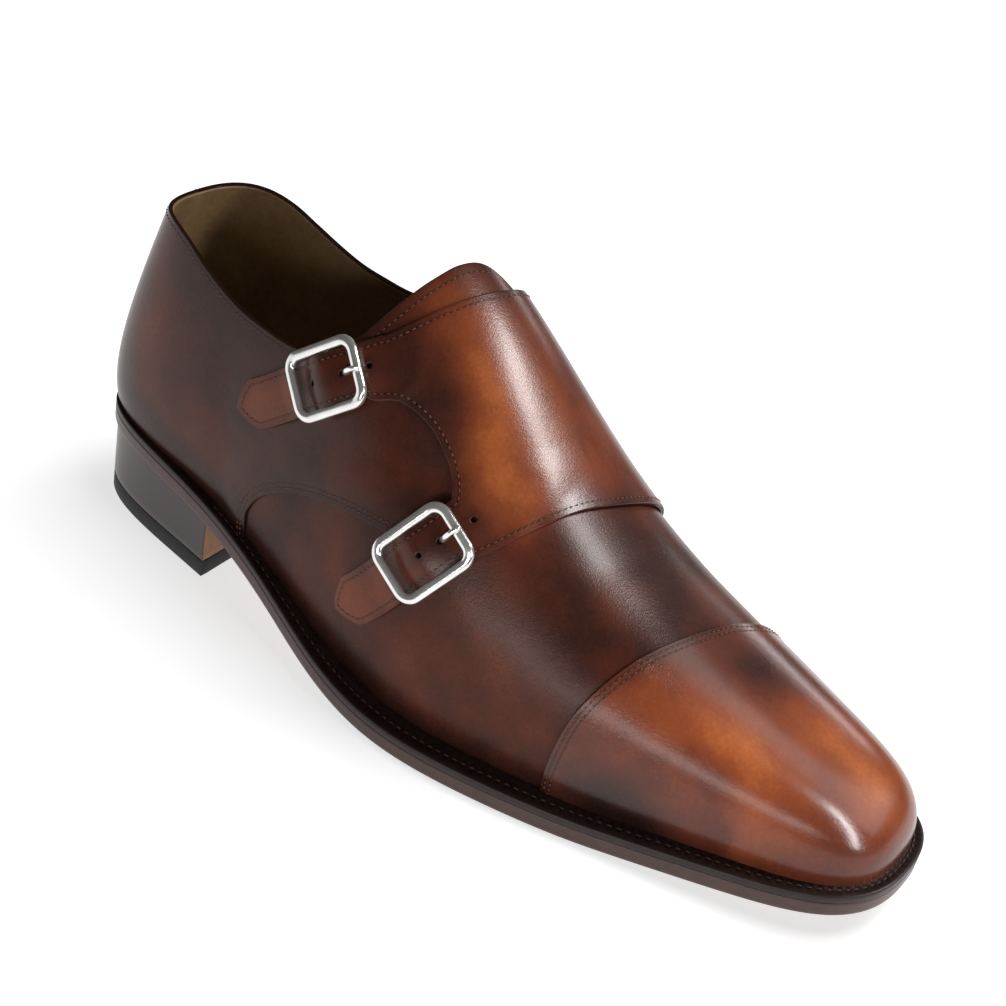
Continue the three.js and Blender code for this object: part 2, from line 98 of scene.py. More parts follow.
RIDGE = dict(start=-10, step=25, heights=[
    158, 156, 153, 147.5, 141, 131, 114, 89.5, 67, 53.5, 44.5, 37.5, 31, 25, 19])
UNDERSIDE = dict(start=-40, step=20, heights=[
    27.2, 27.2, 27, 26, 24.5, 22.5, 19, 13, 6.2, 2, 0, 0, 0, 0, 2, 4, 6.2, 9.5, 14, 18.5])
OUTSOLE = 4.9  # thickness of the outsole
GAP = 0.3  # between neighbouring pieces
WALL = 2.0  # the lined upper


def loop_rows():
    """The stations down the outer side and back up the inner side, as named columns."""
    rows = STATIONS + STATIONS[-2:0:-1]
    table = {name: np.array([row[i] for row in rows], float) for i, name in enumerate(COLUMNS)}
    inner_side = np.arange(len(rows)) >= len(STATIONS) - 1
    table["y"] = np.where(inner_side, table["inner"], -table["outer"])
    table["edge"] = np.where(inner_side, table["inner_edge"], table["outer_edge"])
    return table


LOOP = loop_rows()
COUNT = len(LOOP["x"])


def blend(values, f):
    g = 1 - f
    shares = (g**3, 3 * f**3 - 6 * f * f + 4, 3 * g**3 - 6 * g * g + 4, f**3)
    return sum(share * value for share, value in zip(shares, values)) / 6


def around(name, t):
    place = (t % 1.0) * COUNT
    first = np.floor(place).astype(int)
    column = LOOP[name]
    return blend([column[(first + k) % COUNT] for k in (-1, 0, 1, 2)], place - first)


def even_curve(table, x):
    heights = np.array(table["heights"], float)
    place = (x - table["start"]) / table["step"]
    first = np.clip(np.floor(place).astype(int), 1, len(heights) - 3)
    return blend([heights[first + k] for k in (-1, 0, 1, 2)], place - first)


def underside(x):
    return even_curve(UNDERSIDE, np.asarray(x, float))


def seat(x):
    return underside(x) + OUTSOLE + GAP


def ridge_slope(ridge):
    return even_curve(RIDGE, ridge + 0.5) - even_curve(RIDGE, ridge - 0.5)


def last_point(t, v):
    x, y, ridge = around("x", t), around("y", t), around("ridge", t)
    top, bottom = even_curve(RIDGE, ridge), seat(x)
    reach = np.hypot(x - ridge, y)
    ux, uy = (x - ridge) / reach, y / reach
    crown = reach * around("crown", t)
    rise = top - bottom
    out = [reach - around("tuck", t), reach + around("swell", t), reach * around("shoulder", t),
           crown, 0 * reach]
    forward_drop = ridge_slope(ridge) * np.maximum(ux, 0) * out[2]
    up = [bottom, bottom + around("low", t) * rise, bottom + around("high", t) * rise + forward_drop,
          top + ridge_slope(ridge) * ux * crown, top]
    w = 1 - v
    shares = [w**4, 4 * v * w**3, 6 * v * v * w * w, 4 * v**3 * w, v**4]
    outward = sum(share * value for share, value in zip(shares, out))
    height = sum(share * value for share, value in zip(shares, up))
    return np.stack([ridge + ux * outward, uy * outward, height], -1)


def unit(vectors):
    return vectors / np.maximum(np.linalg.norm(vectors, axis=-1, keepdims=True), 1e-12)


def last_normal(t, v):
    step = 1e-4
    inside = np.clip(v, step, 1 - 20 * step)
    along = last_point(t + step, inside) - last_point(t - step, inside)
    upward = last_point(t, inside + step) - last_point(t, inside - step)
    normal = unit(np.cross(along, upward))
    slope = np.broadcast_to(ridge_slope(around("ridge", t)), normal.shape[:-1])
    on_ridge = unit(np.stack([-slope, 0 * slope, 0 * slope + 1], -1))
    return np.where((np.asarray(v) > 1 - 1e-6)[..., None], on_ridge, normal)


def on_last(t, v, level):
    """Points at a level above the last."""
    t, v, level = np.broadcast_arrays(*(np.asarray(a, float) for a in (t, v, level)))
    return last_point(t, v) + level[..., None] * last_normal(t, v)


print("toe at", np.round(on_last(0.5, 0.0, WALL), 1), "collar back at",
      np.round(on_last(0.0, 0.5, WALL), 1))

# %% [markdown]
# ## The pattern
# A pattern cutter unrolls the last onto paper. Here the paper's two directions are x and the
# girth, which is how far a point lies from the ridge when measured around the foot, with a minus
# on the outer side. A table made once from the last gives the girth for any t and v.

# %% Girth table
GIRTH_T, GIRTH_V = 720, 200


def girth_table():
    t = np.arange(GIRTH_T + 1) / GIRTH_T
    v = np.linspace(0, 1, GIRTH_V + 1)
    points = on_last(t[:, None], v[None, :], WALL)
    steps = np.linalg.norm(np.diff(points, axis=1), axis=-1)
    down = np.cumsum(steps[:, ::-1], axis=1)[:, ::-1]
    return np.concatenate([down, np.zeros((len(t), 1))], axis=1)


GIRTHS = girth_table()


def girth(t, v):
    side = np.where((t % 1.0) < 0.5, -1.0, 1.0)
    column = (t % 1.0) * GIRTH_T
    row = np.clip(v, 0, 1) * GIRTH_V
    i = np.clip(np.floor(column).astype(int), 0, GIRTH_T - 1)
    j = np.clip(np.floor(row).astype(int), 0, GIRTH_V - 1)
    a, b = column - i, row - j
    low = GIRTHS[i, j] * (1 - a) + GIRTHS[i + 1, j] * a
    high = GIRTHS[i, j + 1] * (1 - a) + GIRTHS[i + 1, j + 1] * a
    return side * (low * (1 - b) + high * b)


print("girth from ridge to sole at the ball:", round(float(girth(np.array(0.3), np.array(0.0))), 1))

# %% [markdown]
# ## Sheets and scissors
# A sheet of leather is a grid over t and v, lifted to its level. Each of its points carries its
# place, its normal and its pattern coordinates. To cut it, a function gives each point's
# distance inside an outline, and each triangle that the outline crosses is split there. A Boolean
# modifier could cut it as well, but it needs closed bodies and leaves long thin faces.

# %% Sheet
# A point's row holds its place, its normal and its pattern coordinates; S is the girth.
PLACE, NORMAL = slice(0, 3), slice(3, 6)
X, S, Y, Z = 6, 7, 8, 9
COORDINATES = 10


def chart_of(t, v):
    points = on_last(t, v, WALL)
    return points[..., 0], girth(t, v), points[..., 1], points[..., 2]


def skin(t, v, level):
    chart = chart_of(t, v)
    lift = level(*chart) + presses(chart[0], chart[1])
    return on_last(t, v, lift), chart


def grid_faces(columns, rows):
    """Four-cornered faces between neighbouring columns and rows of points."""
    corner = (np.arange(columns - 1)[:, None] * rows + np.arange(rows - 1)[None, :]).ravel()
    return np.stack([corner, corner + rows, corner + rows + 1, corner + 1], 1)


def sheet(ts, vs, level):
    """A grid of leather over columns ts and rows vs. Returns its points and its triangles."""
    ts, vs = np.asarray(ts, float), np.asarray(vs, float)
    wide = np.concatenate([[2 * ts[0] - ts[1]], ts, [2 * ts[-1] - ts[-2]]])
    t, v = np.meshgrid(wide, vs, indexing="ij")
    places, chart = skin(t, v, level)
    along = places[2:] - places[:-2]
    upward = np.gradient(places, axis=1)[1:-1]
    if vs[-1] == 1.0:  # over the ridge the next point is the mirrored column's
        beyond, _ = skin(1 - wide, np.full_like(wide, vs[-2]), level)
        upward[:, -1] = (beyond - places[:, -2])[1:-1]
    normals = unit(np.cross(along, upward))
    fields = [places[1:-1], normals] + [np.asarray(c)[1:-1, :, None] for c in chart]
    points = np.concatenate(fields, axis=-1).reshape(-1, COORDINATES)
    quads = grid_faces(len(ts), len(vs))
    faces = np.concatenate([quads[:, [0, 1, 2]], quads[:, [0, 2, 3]]])
    return points, faces


def join(*sheets):
    points, faces, start = [], [], 0
    for some_points, some_faces in sheets:
        points.append(some_points)
        faces.append(some_faces + start)
        start += len(some_points)
    return np.concatenate(points), np.concatenate(faces)


# %% Scissors
def crossings(points, faces, inside, value):
    """The triangles that an outline crosses, odd corner first, and the points on their edges."""
    odd_is_inside = inside[faces].sum(1) == 1
    odd = np.argmax(inside[faces] == odd_is_inside[:, None], axis=1)
    rows = np.take_along_axis(faces, (odd[:, None] + np.arange(3)) % 3, 1)
    pairs = np.concatenate([rows[:, [0, 1]], rows[:, [0, 2]]])
    keys, place = np.unique(np.sort(pairs, axis=1), axis=0, return_inverse=True)
    a, b = keys[:, 0], keys[:, 1]
    share = (value[a] / (value[a] - value[b]))[:, None]
    made = points[a] * (1 - share) + points[b] * share
    place = place.reshape(2, -1)
    return rows, odd_is_inside, made, place[0], place[1]


def weld(points, faces):
    """Joins points that share a place, such as those of the two sides along the ridge."""
    _, first, index = np.unique(np.round(points[:, PLACE], 3), axis=0, return_index=True,
                                return_inverse=True)
    faces = index.reshape(-1)[faces]
    whole = (faces != np.roll(faces, 1, axis=1)).all(1)
    return points[first], faces[whole]


def cut(piece, distance):
    """Keeps what lies inside an outline: distance is positive there."""
    points, faces = piece
    value = distance(points)
    value = np.where(np.abs(value) < 1e-6, 1e-6, value)
    inside = value > 0
    count = inside[faces].sum(1)
    whole = faces[count == 3]
    mixed = faces[(count == 1) | (count == 2)]
    rows, odd_in, made, first, second = crossings(points, mixed, inside, value)
    first, second = first + len(points), second + len(points)
    tips = np.stack([rows[:, 0], first, second], 1)[odd_in]
    near = np.stack([first, rows[:, 1], rows[:, 2]], 1)[~odd_in]
    far = np.stack([first, rows[:, 2], second], 1)[~odd_in]
    kept = np.concatenate([whole, tips, near, far])
    used, index = np.unique(kept, return_inverse=True)
    return weld(np.concatenate([points, made])[used], index.reshape(-1, 3))


# %% Outlines
FAR = 1e9  # farther than any two points lie apart


def curve(points, spacing=1.5):
    """A smooth line through points, in short steps of about this length."""
    points = np.asarray(points, float)
    ends = [2 * points[0] - points[1], *points, 2 * points[-1] - points[-2]]
    line = []
    for a, b, c, d in zip(ends, ends[1:], ends[2:], ends[3:]):
        count = max(2, int(np.linalg.norm(c - b) / spacing))
        f = np.linspace(0, 1, count, endpoint=False)[:, None]
        line.append(0.5 * (2 * b + (c - a) * f + (2 * a - 5 * b + 4 * c - d) * f**2
                           + (3 * b - a - 3 * c + d) * f**3))
    return np.concatenate([*line, [points[-1]]])


def lengths_along(line):
    """How far along a line each of its points lies."""
    return np.concatenate([[0], np.cumsum(np.linalg.norm(np.diff(line, axis=0), axis=1))])


def from_straight(start, end, a, b):
    """How far points lie from a straight piece of line, and the share of it they lie beside."""
    da, db = end[0] - start[0], end[1] - start[1]
    size = max(da * da + db * db, 1e-9)
    share = np.clip(((a - start[0]) * da + (b - start[1]) * db) / size, 0, 1)
    return np.hypot(a - start[0] - share * da, b - start[1] - share * db), share


def from_line(line, a, b):
    """How far points lie from an open line."""
    nearest = np.full(np.shape(a), FAR)
    for start, end in zip(line, line[1:]):
        nearest = np.minimum(nearest, from_straight(start, end, a, b)[0])
    return nearest


def inside_outline(outline, a, b):
    """Distance inside a closed outline, negative outside it."""
    outline = np.asarray(outline, float)
    within = np.zeros(a.shape, bool)
    for (a0, b0), (a1, b1) in zip(outline, np.roll(outline, -1, axis=0)):
        if b0 != b1:
            spans = (b0 > b) != (b1 > b)
            within ^= spans & (a < (a1 - a0) * (b - b0) / (b1 - b0) + a0)
    nearest = from_line(np.concatenate([outline, outline[:1]]), a, b)
    return np.where(within, nearest, -nearest)


def inside_pattern(outline, points):
    """Distance inside an outline drawn on the unrolled pattern."""
    return inside_outline(outline, points[:, X], points[:, S])


print("a smooth line through 3 points has", len(curve([[0, 0], [10, 4], [20, 0]])), "steps")

# %% [markdown]
# ## Turned edges
# Cut leather shows its thickness, and a skived edge is round. Around each edge of a sheet a strip
# turns over and down through the leather. Bevel and Solidify modifiers would do this on an even
# mesh; after a cut the points are uneven, so the strip is laid along the edge loops.

# %% Edge loops
def next_points(faces):
    """For each point on an open edge, the point that follows it."""
    edges = np.concatenate([faces[:, [0, 1]], faces[:, [1, 2]], faces[:, [2, 0]]])
    size = int(faces.max()) + 1
    code = edges[:, 0] * size + edges[:, 1]
    back = edges[:, 1] * size + edges[:, 0]
    rim = edges[~np.isin(code, back)]
    following = {}
    for a, b in rim.tolist():
        following.setdefault(a, []).append(b)
    return following


def chains(following):
    """Runs of points, each as a list and whether it closes on itself."""
    found = []
    arriving = {b for ends in following.values() for b in ends}
    starts = [a for a in following if a not in arriving] + list(following)
    for start in starts:
        while following.get(start):
            run = [start]
            while following.get(run[-1]):
                run.append(following[run[-1]].pop())
                if run[-1] == start:
                    break
            closed = run[-1] == start
            found.append((run[:-1] if closed else run, closed))
    return found


def outward(points, normals, closed):
    """Unit directions out of the leather beside a run of points."""
    count = len(points)
    span = max(1, min(3, count // 8))
    index = np.arange(count)
    if closed:
        ahead, behind = (index + span) % count, (index - span) % count
    else:
        ahead, behind = np.minimum(index + span, count - 1), np.maximum(index - span, 0)
    return unit(np.cross(unit(points[ahead] - points[behind]), normals))


EDGE = COORDINATES  # the next column: each point's distance from the cut edge
CUT_SIDE = -3.0  # stands for the side of the cut: inked dark, and darkened further as painted shade
SHORTEST_RUN = 6
ROUNDING = np.radians([30, 60, 90])


def turned_edge(piece, thick, radius):
    """Adds the round edge and the side of the cut."""
    points, faces = piece
    rings = [(radius * math.sin(a), radius * (1 - math.cos(a)), math.sin(a)) for a in ROUNDING]
    rings += [(radius, thick - 0.4 * radius, 1.0), (radius * 0.6, thick, 0.5)]
    made, rows, start = [points], [faces], len(points)
    for run, closed in chains(next_points(faces)):
        if len(run) < SHORTEST_RUN:
            continue
        edge = points[run]
        up = edge[:, NORMAL]
        out = outward(edge[:, PLACE], up, closed)
        previous = np.array(run)
        for side, down, lean in rings:
            ring = edge.copy()
            ring[:, PLACE] = edge[:, PLACE] + side * out - down * up
            below = -1.0 if down >= thick else 1.0
            ring[:, NORMAL] = unit(lean * out + below * math.sqrt(max(0, 1 - lean * lean)) * up)
            if side >= radius or below < 0:
                ring[:, EDGE] = CUT_SIDE
            made.append(ring)
            now = np.arange(start, start + len(run))
            start += len(run)
            a, b = previous, np.roll(previous, -1)
            c, d = np.roll(now, -1), now
            strip = np.concatenate([np.stack([b, a, d], 1), np.stack([b, d, c], 1)])
            if not closed:
                keep = np.arange(len(run)) < len(run) - 1
                strip = strip[np.concatenate([keep, keep])]
            rows.append(strip)
            previous = now
    return np.concatenate(made), np.concatenate(rows)


def under_skin(piece, thick, where):
    """The reverse side of a sheet, for the faces whose points lie where it can be seen."""
    points, faces = piece
    shown = where(points)
    rows = faces[shown[faces].all(1)][:, ::-1]
    used, index = np.unique(rows, return_inverse=True)
    below = points[used].copy()
    below[:, PLACE] -= thick * below[:, NORMAL]
    below[:, NORMAL] *= -1
    return below, index.reshape(-1, 3)


def edge_distance(piece, where=None, others=None):
    """Each point's distance from the sheet's cut edge, or from the part of it that where keeps."""
    points, faces = piece
    rim = np.array(sorted(next_points(faces)))
    if where is not None:
        rim = rim[where(points[rim])]
    tree = kdtree.KDTree(len(rim))
    for i, place in enumerate(points[rim][:, PLACE]):
        tree.insert(place, i)
    tree.balance()
    asked = points if others is None else others
    return np.array([tree.find(place)[2] for place in asked[:, PLACE]])


print("helpers for sheets are ready")

# %% [markdown]
# ## Making a Blender mesh
# A finished piece becomes one mesh object. Normals come from the last itself, not from the cut
# triangles, because polished leather mirrors every small error. Values are stored at each point
# for the finishes: how warm the colour is there, from the hand-rubbed patina and from some
# painted shade and light, and how far the edge is.

# %% Mesh helper
def add_mesh(name, points, faces, material, replaces=(), normals=None, values=None):
    mesh = bpy.data.meshes.new(name)
    mesh.from_pydata(to_frame(points).tolist(), [], [list(map(int, face)) for face in faces])
    for key, numbers in (values or {}).items():
        layer = mesh.attributes.new(key, "FLOAT", "POINT")
        layer.data.foreach_set("value", np.asarray(numbers, np.float32))
    mesh.polygons.foreach_set("use_smooth", [True] * len(mesh.polygons))
    mesh.materials.append(material)
    if normals is not None:
        mesh.normals_split_custom_set_from_vertices(normals.tolist())
    piece = bpy.data.objects.new(name, mesh)
    bpy.context.scene.collection.objects.link(piece)
    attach(piece, "root")
    if replaces:
        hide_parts(*replaces)
    print(f"{name}: {len(faces)} faces")
    return piece


def above_seat(points):
    return points[:, Z] - seat(points[:, X])


LOW_DARKENING = 0.16  # how much darker the leather is made down towards the welt
DARKENING_FROM, DARKENING_TO = 3, 20  # where that begins and ends above the welt


def leather(name, piece, material, replaces=(), thick=1.2, radius=0.4,
            back=None, edge_where=None, glow=0.0, extra_warm=None):
    """A cut sheet with turned edges as a Blender piece."""
    distance = edge_distance(piece, edge_where)
    marked = np.concatenate([piece[0], distance[:, None]], 1), piece[1]
    points, faces = turned_edge(marked, thick, radius)
    if back is not None:
        points, faces = join((points, faces), under_skin(marked, thick, back))
    warm = patina_and_shade(*patina_and_shade_place(points)) + glow
    if extra_warm is not None:
        warm = warm + extra_warm(points)
    warm = warm - LOW_DARKENING * (1 - smooth_step(above_seat(points), DARKENING_FROM, DARKENING_TO))
    values = {"warm": warm, "edge": points[:, EDGE]}
    return add_mesh(name, points[:, PLACE], faces, material, replaces,
                    points[:, NORMAL], values)


# %% [markdown]
# ## Presses, patina and painted shade
# A new shoe has few creases, but its leather is never quite even: it sinks a little where it
# will flex and where the straps pull. Each row is a soft trough in the pattern. The patina is
# rubbed in by hand, warm where the colour was stripped and dark where it was left, so each of
# its rows is a soft patch in the pattern too. Two rows are not patina but painted shade: they
# darken the toe cap's outer wall, which turns away from the lamps.

# %% Presses in the leather
# x, girth, angle, length, width, depth
PRESSES = [
    [201, -40, 68, 26, 9.0, 0.16],  # first flex line, outer side
    [209, 30, 112, 24, 9.0, 0.16],  # first flex line, inner side
    [186, -62, 70, 18, 7.0, 0.22],  # beside the lower buckle
    [197, -5, 84, 20, 5.0, 0.20],  # just below the flap
    [70, -98, 100, 18, 7.0, 0.35],  # hollow below the ankle, outer side
    [72, 96, 80, 18, 7.0, 0.35],  # hollow below the ankle, inner side
    [140, -66, 40, 15, 5.0, 0.30],  # pull between the straps
    [150, 62, 130, 24, 6.0, 0.30],  # pull on the inner quarter
]


def presses(x, s):
    lift = np.zeros(np.shape(x))
    for cx, cs, angle, length, width, depth in PRESSES:
        turn = math.radians(angle)
        along = (x - cx) * math.cos(turn) + (s - cs) * math.sin(turn)
        across = (s - cs) * math.cos(turn) - (x - cx) * math.sin(turn)
        lift = lift - depth * np.exp(-((along / length) ** 2) - (across / width) ** 2)
    return lift


# %% Patches of patina and painted shade
def smooth_step(value, low, high):
    share = np.clip((value - low) / (high - low), 0, 1)
    return share * share * (3 - 2 * share)


MEETING = (238, 262)  # over this stretch of x the toe's two sides meet
# x, girth, reach along x, reach along the girth, amount
PATINA_AND_SHADE = [
    [252, -8, 18, 16, 0.26],  # toe cap, top
    [248, -22, 12, 9, 0.14],  # toe cap, outer side of the top
    [272, 4, 9, 9, 0.12],  # toe cap, inner side near the tip
    [238, -24, 12, 10, 0.22],  # toe cap, outer side near the seam
    [258, -20, 10, 7, 0.20],  # toe cap, outer shoulder near the tip
    [262, 8, 13, 12, 0.24],  # toe cap, inner side of the top
    [282, 2, 9, 10, 0.26],  # toe tip
    [240, 6, 10, 13, -0.36],  # toe cap, dark cloud on top
    [224, -30, 9, 9, 0.10],  # toe cap, red at the seam
    [226, -64, 18, 14, -0.34],  # toe cap, outer wall: painted shade where it turns from the lamps
    [254, -30, 14, 7, -0.14],  # toe cap, wall further forward: painted shade
    [232, 36, 14, 18, 0.16],  # toe cap, inner side near the seam
    [160, -29, 10, 10, 0.38],  # flap, outer side above the lower buckle
    [172, -24, 9, 12, 0.24],  # flap, near the front edge
    [148, -16, 14, 12, 0.22],  # flap, middle
    [158, -2, 18, 12, 0.18],  # flap, ridge
    [172, 12, 12, 14, 0.12],  # flap, over the ridge
    [150, 40, 22, 20, 0.20],  # flap, inner side
    [131, -19, 8, 8, 0.14],  # flap, warm near its top edge
    [143, -30, 6, 5, -0.12],  # flap, dark spot
    [147, -19, 9, 6, 0.24],  # flap, warm above the outer side
    [136, -10, 8, 8, 0.08],  # flap, by its top edge
    [170, 7, 12, 8, -0.08],  # flap, darker on the ridge
    [128, -36, 10, 7, -0.10],  # flap, plum by the upper buckle
    [202, -14, 9, 9, 0.18],  # vamp, red patch on top
    [200, 0, 8, 6, -0.08],  # vamp, dark ridge
    [180, -43, 16, 10, 0.14],  # vamp, beside the lower buckle
    [192, -58, 20, 12, 0.16],  # vamp, outer side
    [217, 16, 8, 10, 0.16],  # vamp, near the cap on the inner side
    [124, -98, 12, 12, 0.18],  # vamp, beside the quarter seam
    [160, -98, 26, 12, 0.10],  # vamp, low on the outer side
    [140, -50, 14, 9, 0.06],  # quarter, under the curve
    [108, -84, 16, 10, -0.06],  # quarter, dark above the seam
    [60, -112, 16, 14, 0.05],  # quarter, low at the heel
    [32, -97, 9, 20, 0.18],  # heel, outer side
    [72, -70, 26, 16, -0.10],  # quarter, under the collar
    [64, 100, 30, 24, 0.12],  # inner quarter
    [120, 70, 26, 20, 0.16],  # inner quarter towards the flap
    [205, 58, 20, 18, 0.12],  # vamp, inner side
]


def patina_and_shade_place(points):
    """Where to look in the table: the girth gives way to y where the toe's two sides meet."""
    toe = smooth_step(points[:, X], *MEETING)
    return points[:, X], points[:, S] * (1 - toe) + points[:, Y] * toe


def patina_and_shade(x, s):
    warm = np.zeros(np.shape(x))
    for cx, cs, reach_x, reach_s, amount in PATINA_AND_SHADE:
        warm = warm + amount * np.exp(-(((x - cx) / reach_x) ** 2) - ((s - cs) / reach_s) ** 2)
    return warm


print(len(PRESSES), "presses and", len(PATINA_AND_SHADE), "patches of patina")

# %% [markdown]
# ## Finishes
# Calf is stained, waxed and brushed until it shines: a coloured base, a clear thin coat, and
# only a trace of grain. The stain is never even, so three sizes of noise shift the rubbed
# patches. The colour deepens towards each edge, where polish collects. Along each row of
# stitches a dark line is painted shade, standing for the groove and the needle holes, and the
# cut sides are inked dark and darkened further as painted shade. Painting a texture would do
# it too, but nodes keep it sharp at any distance.

# %% Node helpers
def new_material(name):
    material = bpy.data.materials.new(name)
    material.use_nodes = True
    tree = material.node_tree
    shader = tree.nodes["Principled BSDF"]
    return material, tree, shader


def add_node(tree, kind, **settings):
    node = tree.nodes.new(kind)
    for key, value in settings.items():
        if key in node.inputs:
            node.inputs[key].default_value = value
        else:
            setattr(node, key, value)
    return node


def noise(tree, scale, detail=4.0, roughness=0.55):
    place = add_node(tree, "ShaderNodeTexCoord")
    node = add_node(tree, "ShaderNodeTexNoise", Scale=scale, Detail=detail, Roughness=roughness)
    tree.links.new(place.outputs["Object"], node.inputs["Vector"])
    return node.outputs["Fac"]


def maths(tree, operation, first, second, clamp=False):
    node = add_node(tree, "ShaderNodeMath", operation=operation, use_clamp=clamp)
    for socket, value in zip(node.inputs, (first, second)):
        if isinstance(value, (int, float)):
            socket.default_value = value
        else:
            tree.links.new(value, socket)
    return node.outputs[0]


def ramp(tree, factor, stops):
    node = add_node(tree, "ShaderNodeValToRGB")
    elements = node.color_ramp.elements
    while len(elements) < len(stops):
        elements.new(0.5)
    for element, (place, colour) in zip(elements, stops):
        element.position = place
        element.color = (*colour, 1.0)
    tree.links.new(factor, node.inputs["Fac"])
    return node.outputs["Color"]


def stored(tree, name):
    return add_node(tree, "ShaderNodeAttribute", attribute_name=name).outputs["Fac"]


def grain(tree, shader, parts, strength, distance):
    """Bump from a mix of noise sizes, each given as scale and share."""
    height = 0.0
    for scale, share in parts:
        height = maths(tree, "ADD", maths(tree, "MULTIPLY", noise(tree, scale), share), height)
    bump = add_node(tree, "ShaderNodeBump", Strength=strength, Distance=distance)
    tree.links.new(height, bump.inputs["Height"])
    tree.links.new(bump.outputs["Normal"], shader.inputs["Normal"])


# %% Polished calf
BLACK_BROWN = (0.0135, 0.0058, 0.0045)
DARK_PLUM = (0.0350, 0.0115, 0.0078)
RED_BROWN = (0.086, 0.0205, 0.0105)
CHESTNUT = (0.190, 0.045, 0.0150)
AMBER = (0.380, 0.110, 0.0270)
STAIN_STOPS = [(0.0, BLACK_BROWN), (0.22, DARK_PLUM), (0.45, RED_BROWN), (0.72, CHESTNUT),
               (1.0, AMBER)]
MIDDLE_STAIN = 0.28
UNEVEN = [(26, 2.5, 0.55, 0.62), (110, 4.0, 0.6, 0.26), (900, 2.0, 0.55, 0.16)]
ROW_AT = 5.0  # the stored value on a row of stitches
ROW_HALF = 0.45  # half the width of the painted shade along it
# darkening at the edges where polish collects, how fast it fades inwards, and the painted shade
# along rows of stitches
EDGE_DARK, EDGE_FADE, ROW_SHADE = 0.16, 0.66, 0.30


def near_row(tree, name):
    """One on a row of stitches, falling to nothing beside it."""
    away = maths(tree, "ABSOLUTE", maths(tree, "SUBTRACT", stored(tree, name), ROW_AT), 0.0)
    return maths(tree, "SUBTRACT", 1.0, maths(tree, "DIVIDE", away, ROW_HALF), clamp=True)


def stain_and_shade(tree):
    """The stored warmth, shifted by noise, darkened at edges, and with painted shade along rows of
    stitches.
    """
    stain = maths(tree, "ADD", stored(tree, "warm"), MIDDLE_STAIN)
    for scale, detail, roughness, amount in UNEVEN:
        shift = maths(tree, "SUBTRACT", noise(tree, scale, detail, roughness), 0.5)
        stain = maths(tree, "ADD", stain, maths(tree, "MULTIPLY", shift, amount))
    edge = maths(tree, "POWER", EDGE_FADE, stored(tree, "edge"))
    rows = maths(tree, "ADD", near_row(tree, "row_one"), near_row(tree, "row_two"))
    dark = maths(tree, "ADD", maths(tree, "MULTIPLY", edge, EDGE_DARK),
                 maths(tree, "MULTIPLY", rows, ROW_SHADE))
    return maths(tree, "SUBTRACT", stain, dark, clamp=True)


def polished_calf(name, roughness, shine, wax):
    material, tree, shader = new_material(name)
    tree.links.new(ramp(tree, stain_and_shade(tree), STAIN_STOPS), shader.inputs["Base Color"])
    sheen = maths(tree, "ADD", maths(tree, "MULTIPLY", noise(tree, 60, 3.0), 0.08), roughness)
    tree.links.new(sheen, shader.inputs["Roughness"])
    on_top = maths(tree, "ADD", maths(tree, "MULTIPLY", stored(tree, "edge"), 0.3), 1.0, clamp=True)
    tree.links.new(maths(tree, "MULTIPLY", on_top, shine), shader.inputs["Specular IOR Level"])
    shader.inputs["Coat Weight"].default_value = wax
    shader.inputs["Coat Roughness"].default_value = 0.16
    grain(tree, shader, [(1900, 0.6), (800, 0.4)], 0.42, 0.0002)
    return material


CALF = polished_calf("polished brown calf", 0.22, 0.20, 0.05)
CAP_CALF = polished_calf("highly polished brown calf", 0.16, 0.30, 0.16)
VAMP_CALF = polished_calf("softer brown calf", 0.25, 0.14, 0.02)


# %% Plainer leathers, thread, rubber and metal
def stained(name, dark, light, roughness, scale, grain_parts, strength, distance, specular):
    material, tree, shader = new_material(name)
    stain = maths(tree, "ADD", maths(tree, "MULTIPLY", noise(tree, scale, 4.0), 0.7),
                  maths(tree, "MULTIPLY", noise(tree, scale * 8, 3.0), 0.3))
    tint = ramp(tree, stain, [(0.3, dark), (0.7, light)])
    tree.links.new(tint, shader.inputs["Base Color"])
    gloss = maths(tree, "ADD", maths(tree, "MULTIPLY", stain, 0.16), roughness - 0.08)
    tree.links.new(gloss, shader.inputs["Roughness"])
    shader.inputs["Specular IOR Level"].default_value = specular
    grain(tree, shader, grain_parts, strength, distance)
    return material


# Each row: name, dark stain, light stain, roughness, size of its clouds,
# grain as scale and share, its strength and depth, shine.
LINING = stained(
    "olive tan lining leather", (0.105, 0.062, 0.026), (0.185, 0.115, 0.052), 0.55, 90,
    [(1500, 0.6), (500, 0.4)], 0.25, 0.0003, 0.4)
INSOLE_LEATHER = stained(
    "tan insole leather", (0.30, 0.165, 0.078), (0.42, 0.245, 0.125), 0.5, 70,
    [(1200, 0.6), (300, 0.4)], 0.25, 0.0003, 0.4)
WELT_LEATHER = stained(
    "dark welt leather", (0.0095, 0.0050, 0.0040), (0.022, 0.0110, 0.0085), 0.42, 220,
    [(1300, 0.6), (500, 0.4)], 0.35, 0.0003, 0.3)
SOLE_EDGE = stained(
    "waxed sole edge", (0.042, 0.0200, 0.0155), (0.064, 0.0310, 0.0240), 0.34, 160,
    [(1000, 0.5), (260, 0.5)], 0.25, 0.0003, 0.4)
SOLE_UNDER = stained(
    "oak tanned sole leather", (0.19, 0.085, 0.036), (0.29, 0.14, 0.064), 0.45, 60,
    [(1100, 0.5), (240, 0.5)], 0.3, 0.0004, 0.4)
HEEL_LEATHER = stained(
    "waxed heel leather", (0.022, 0.0130, 0.0112), (0.034, 0.0195, 0.0165), 0.30, 90,
    [(1000, 0.6), (300, 0.4)], 0.1, 0.0002, 0.5)
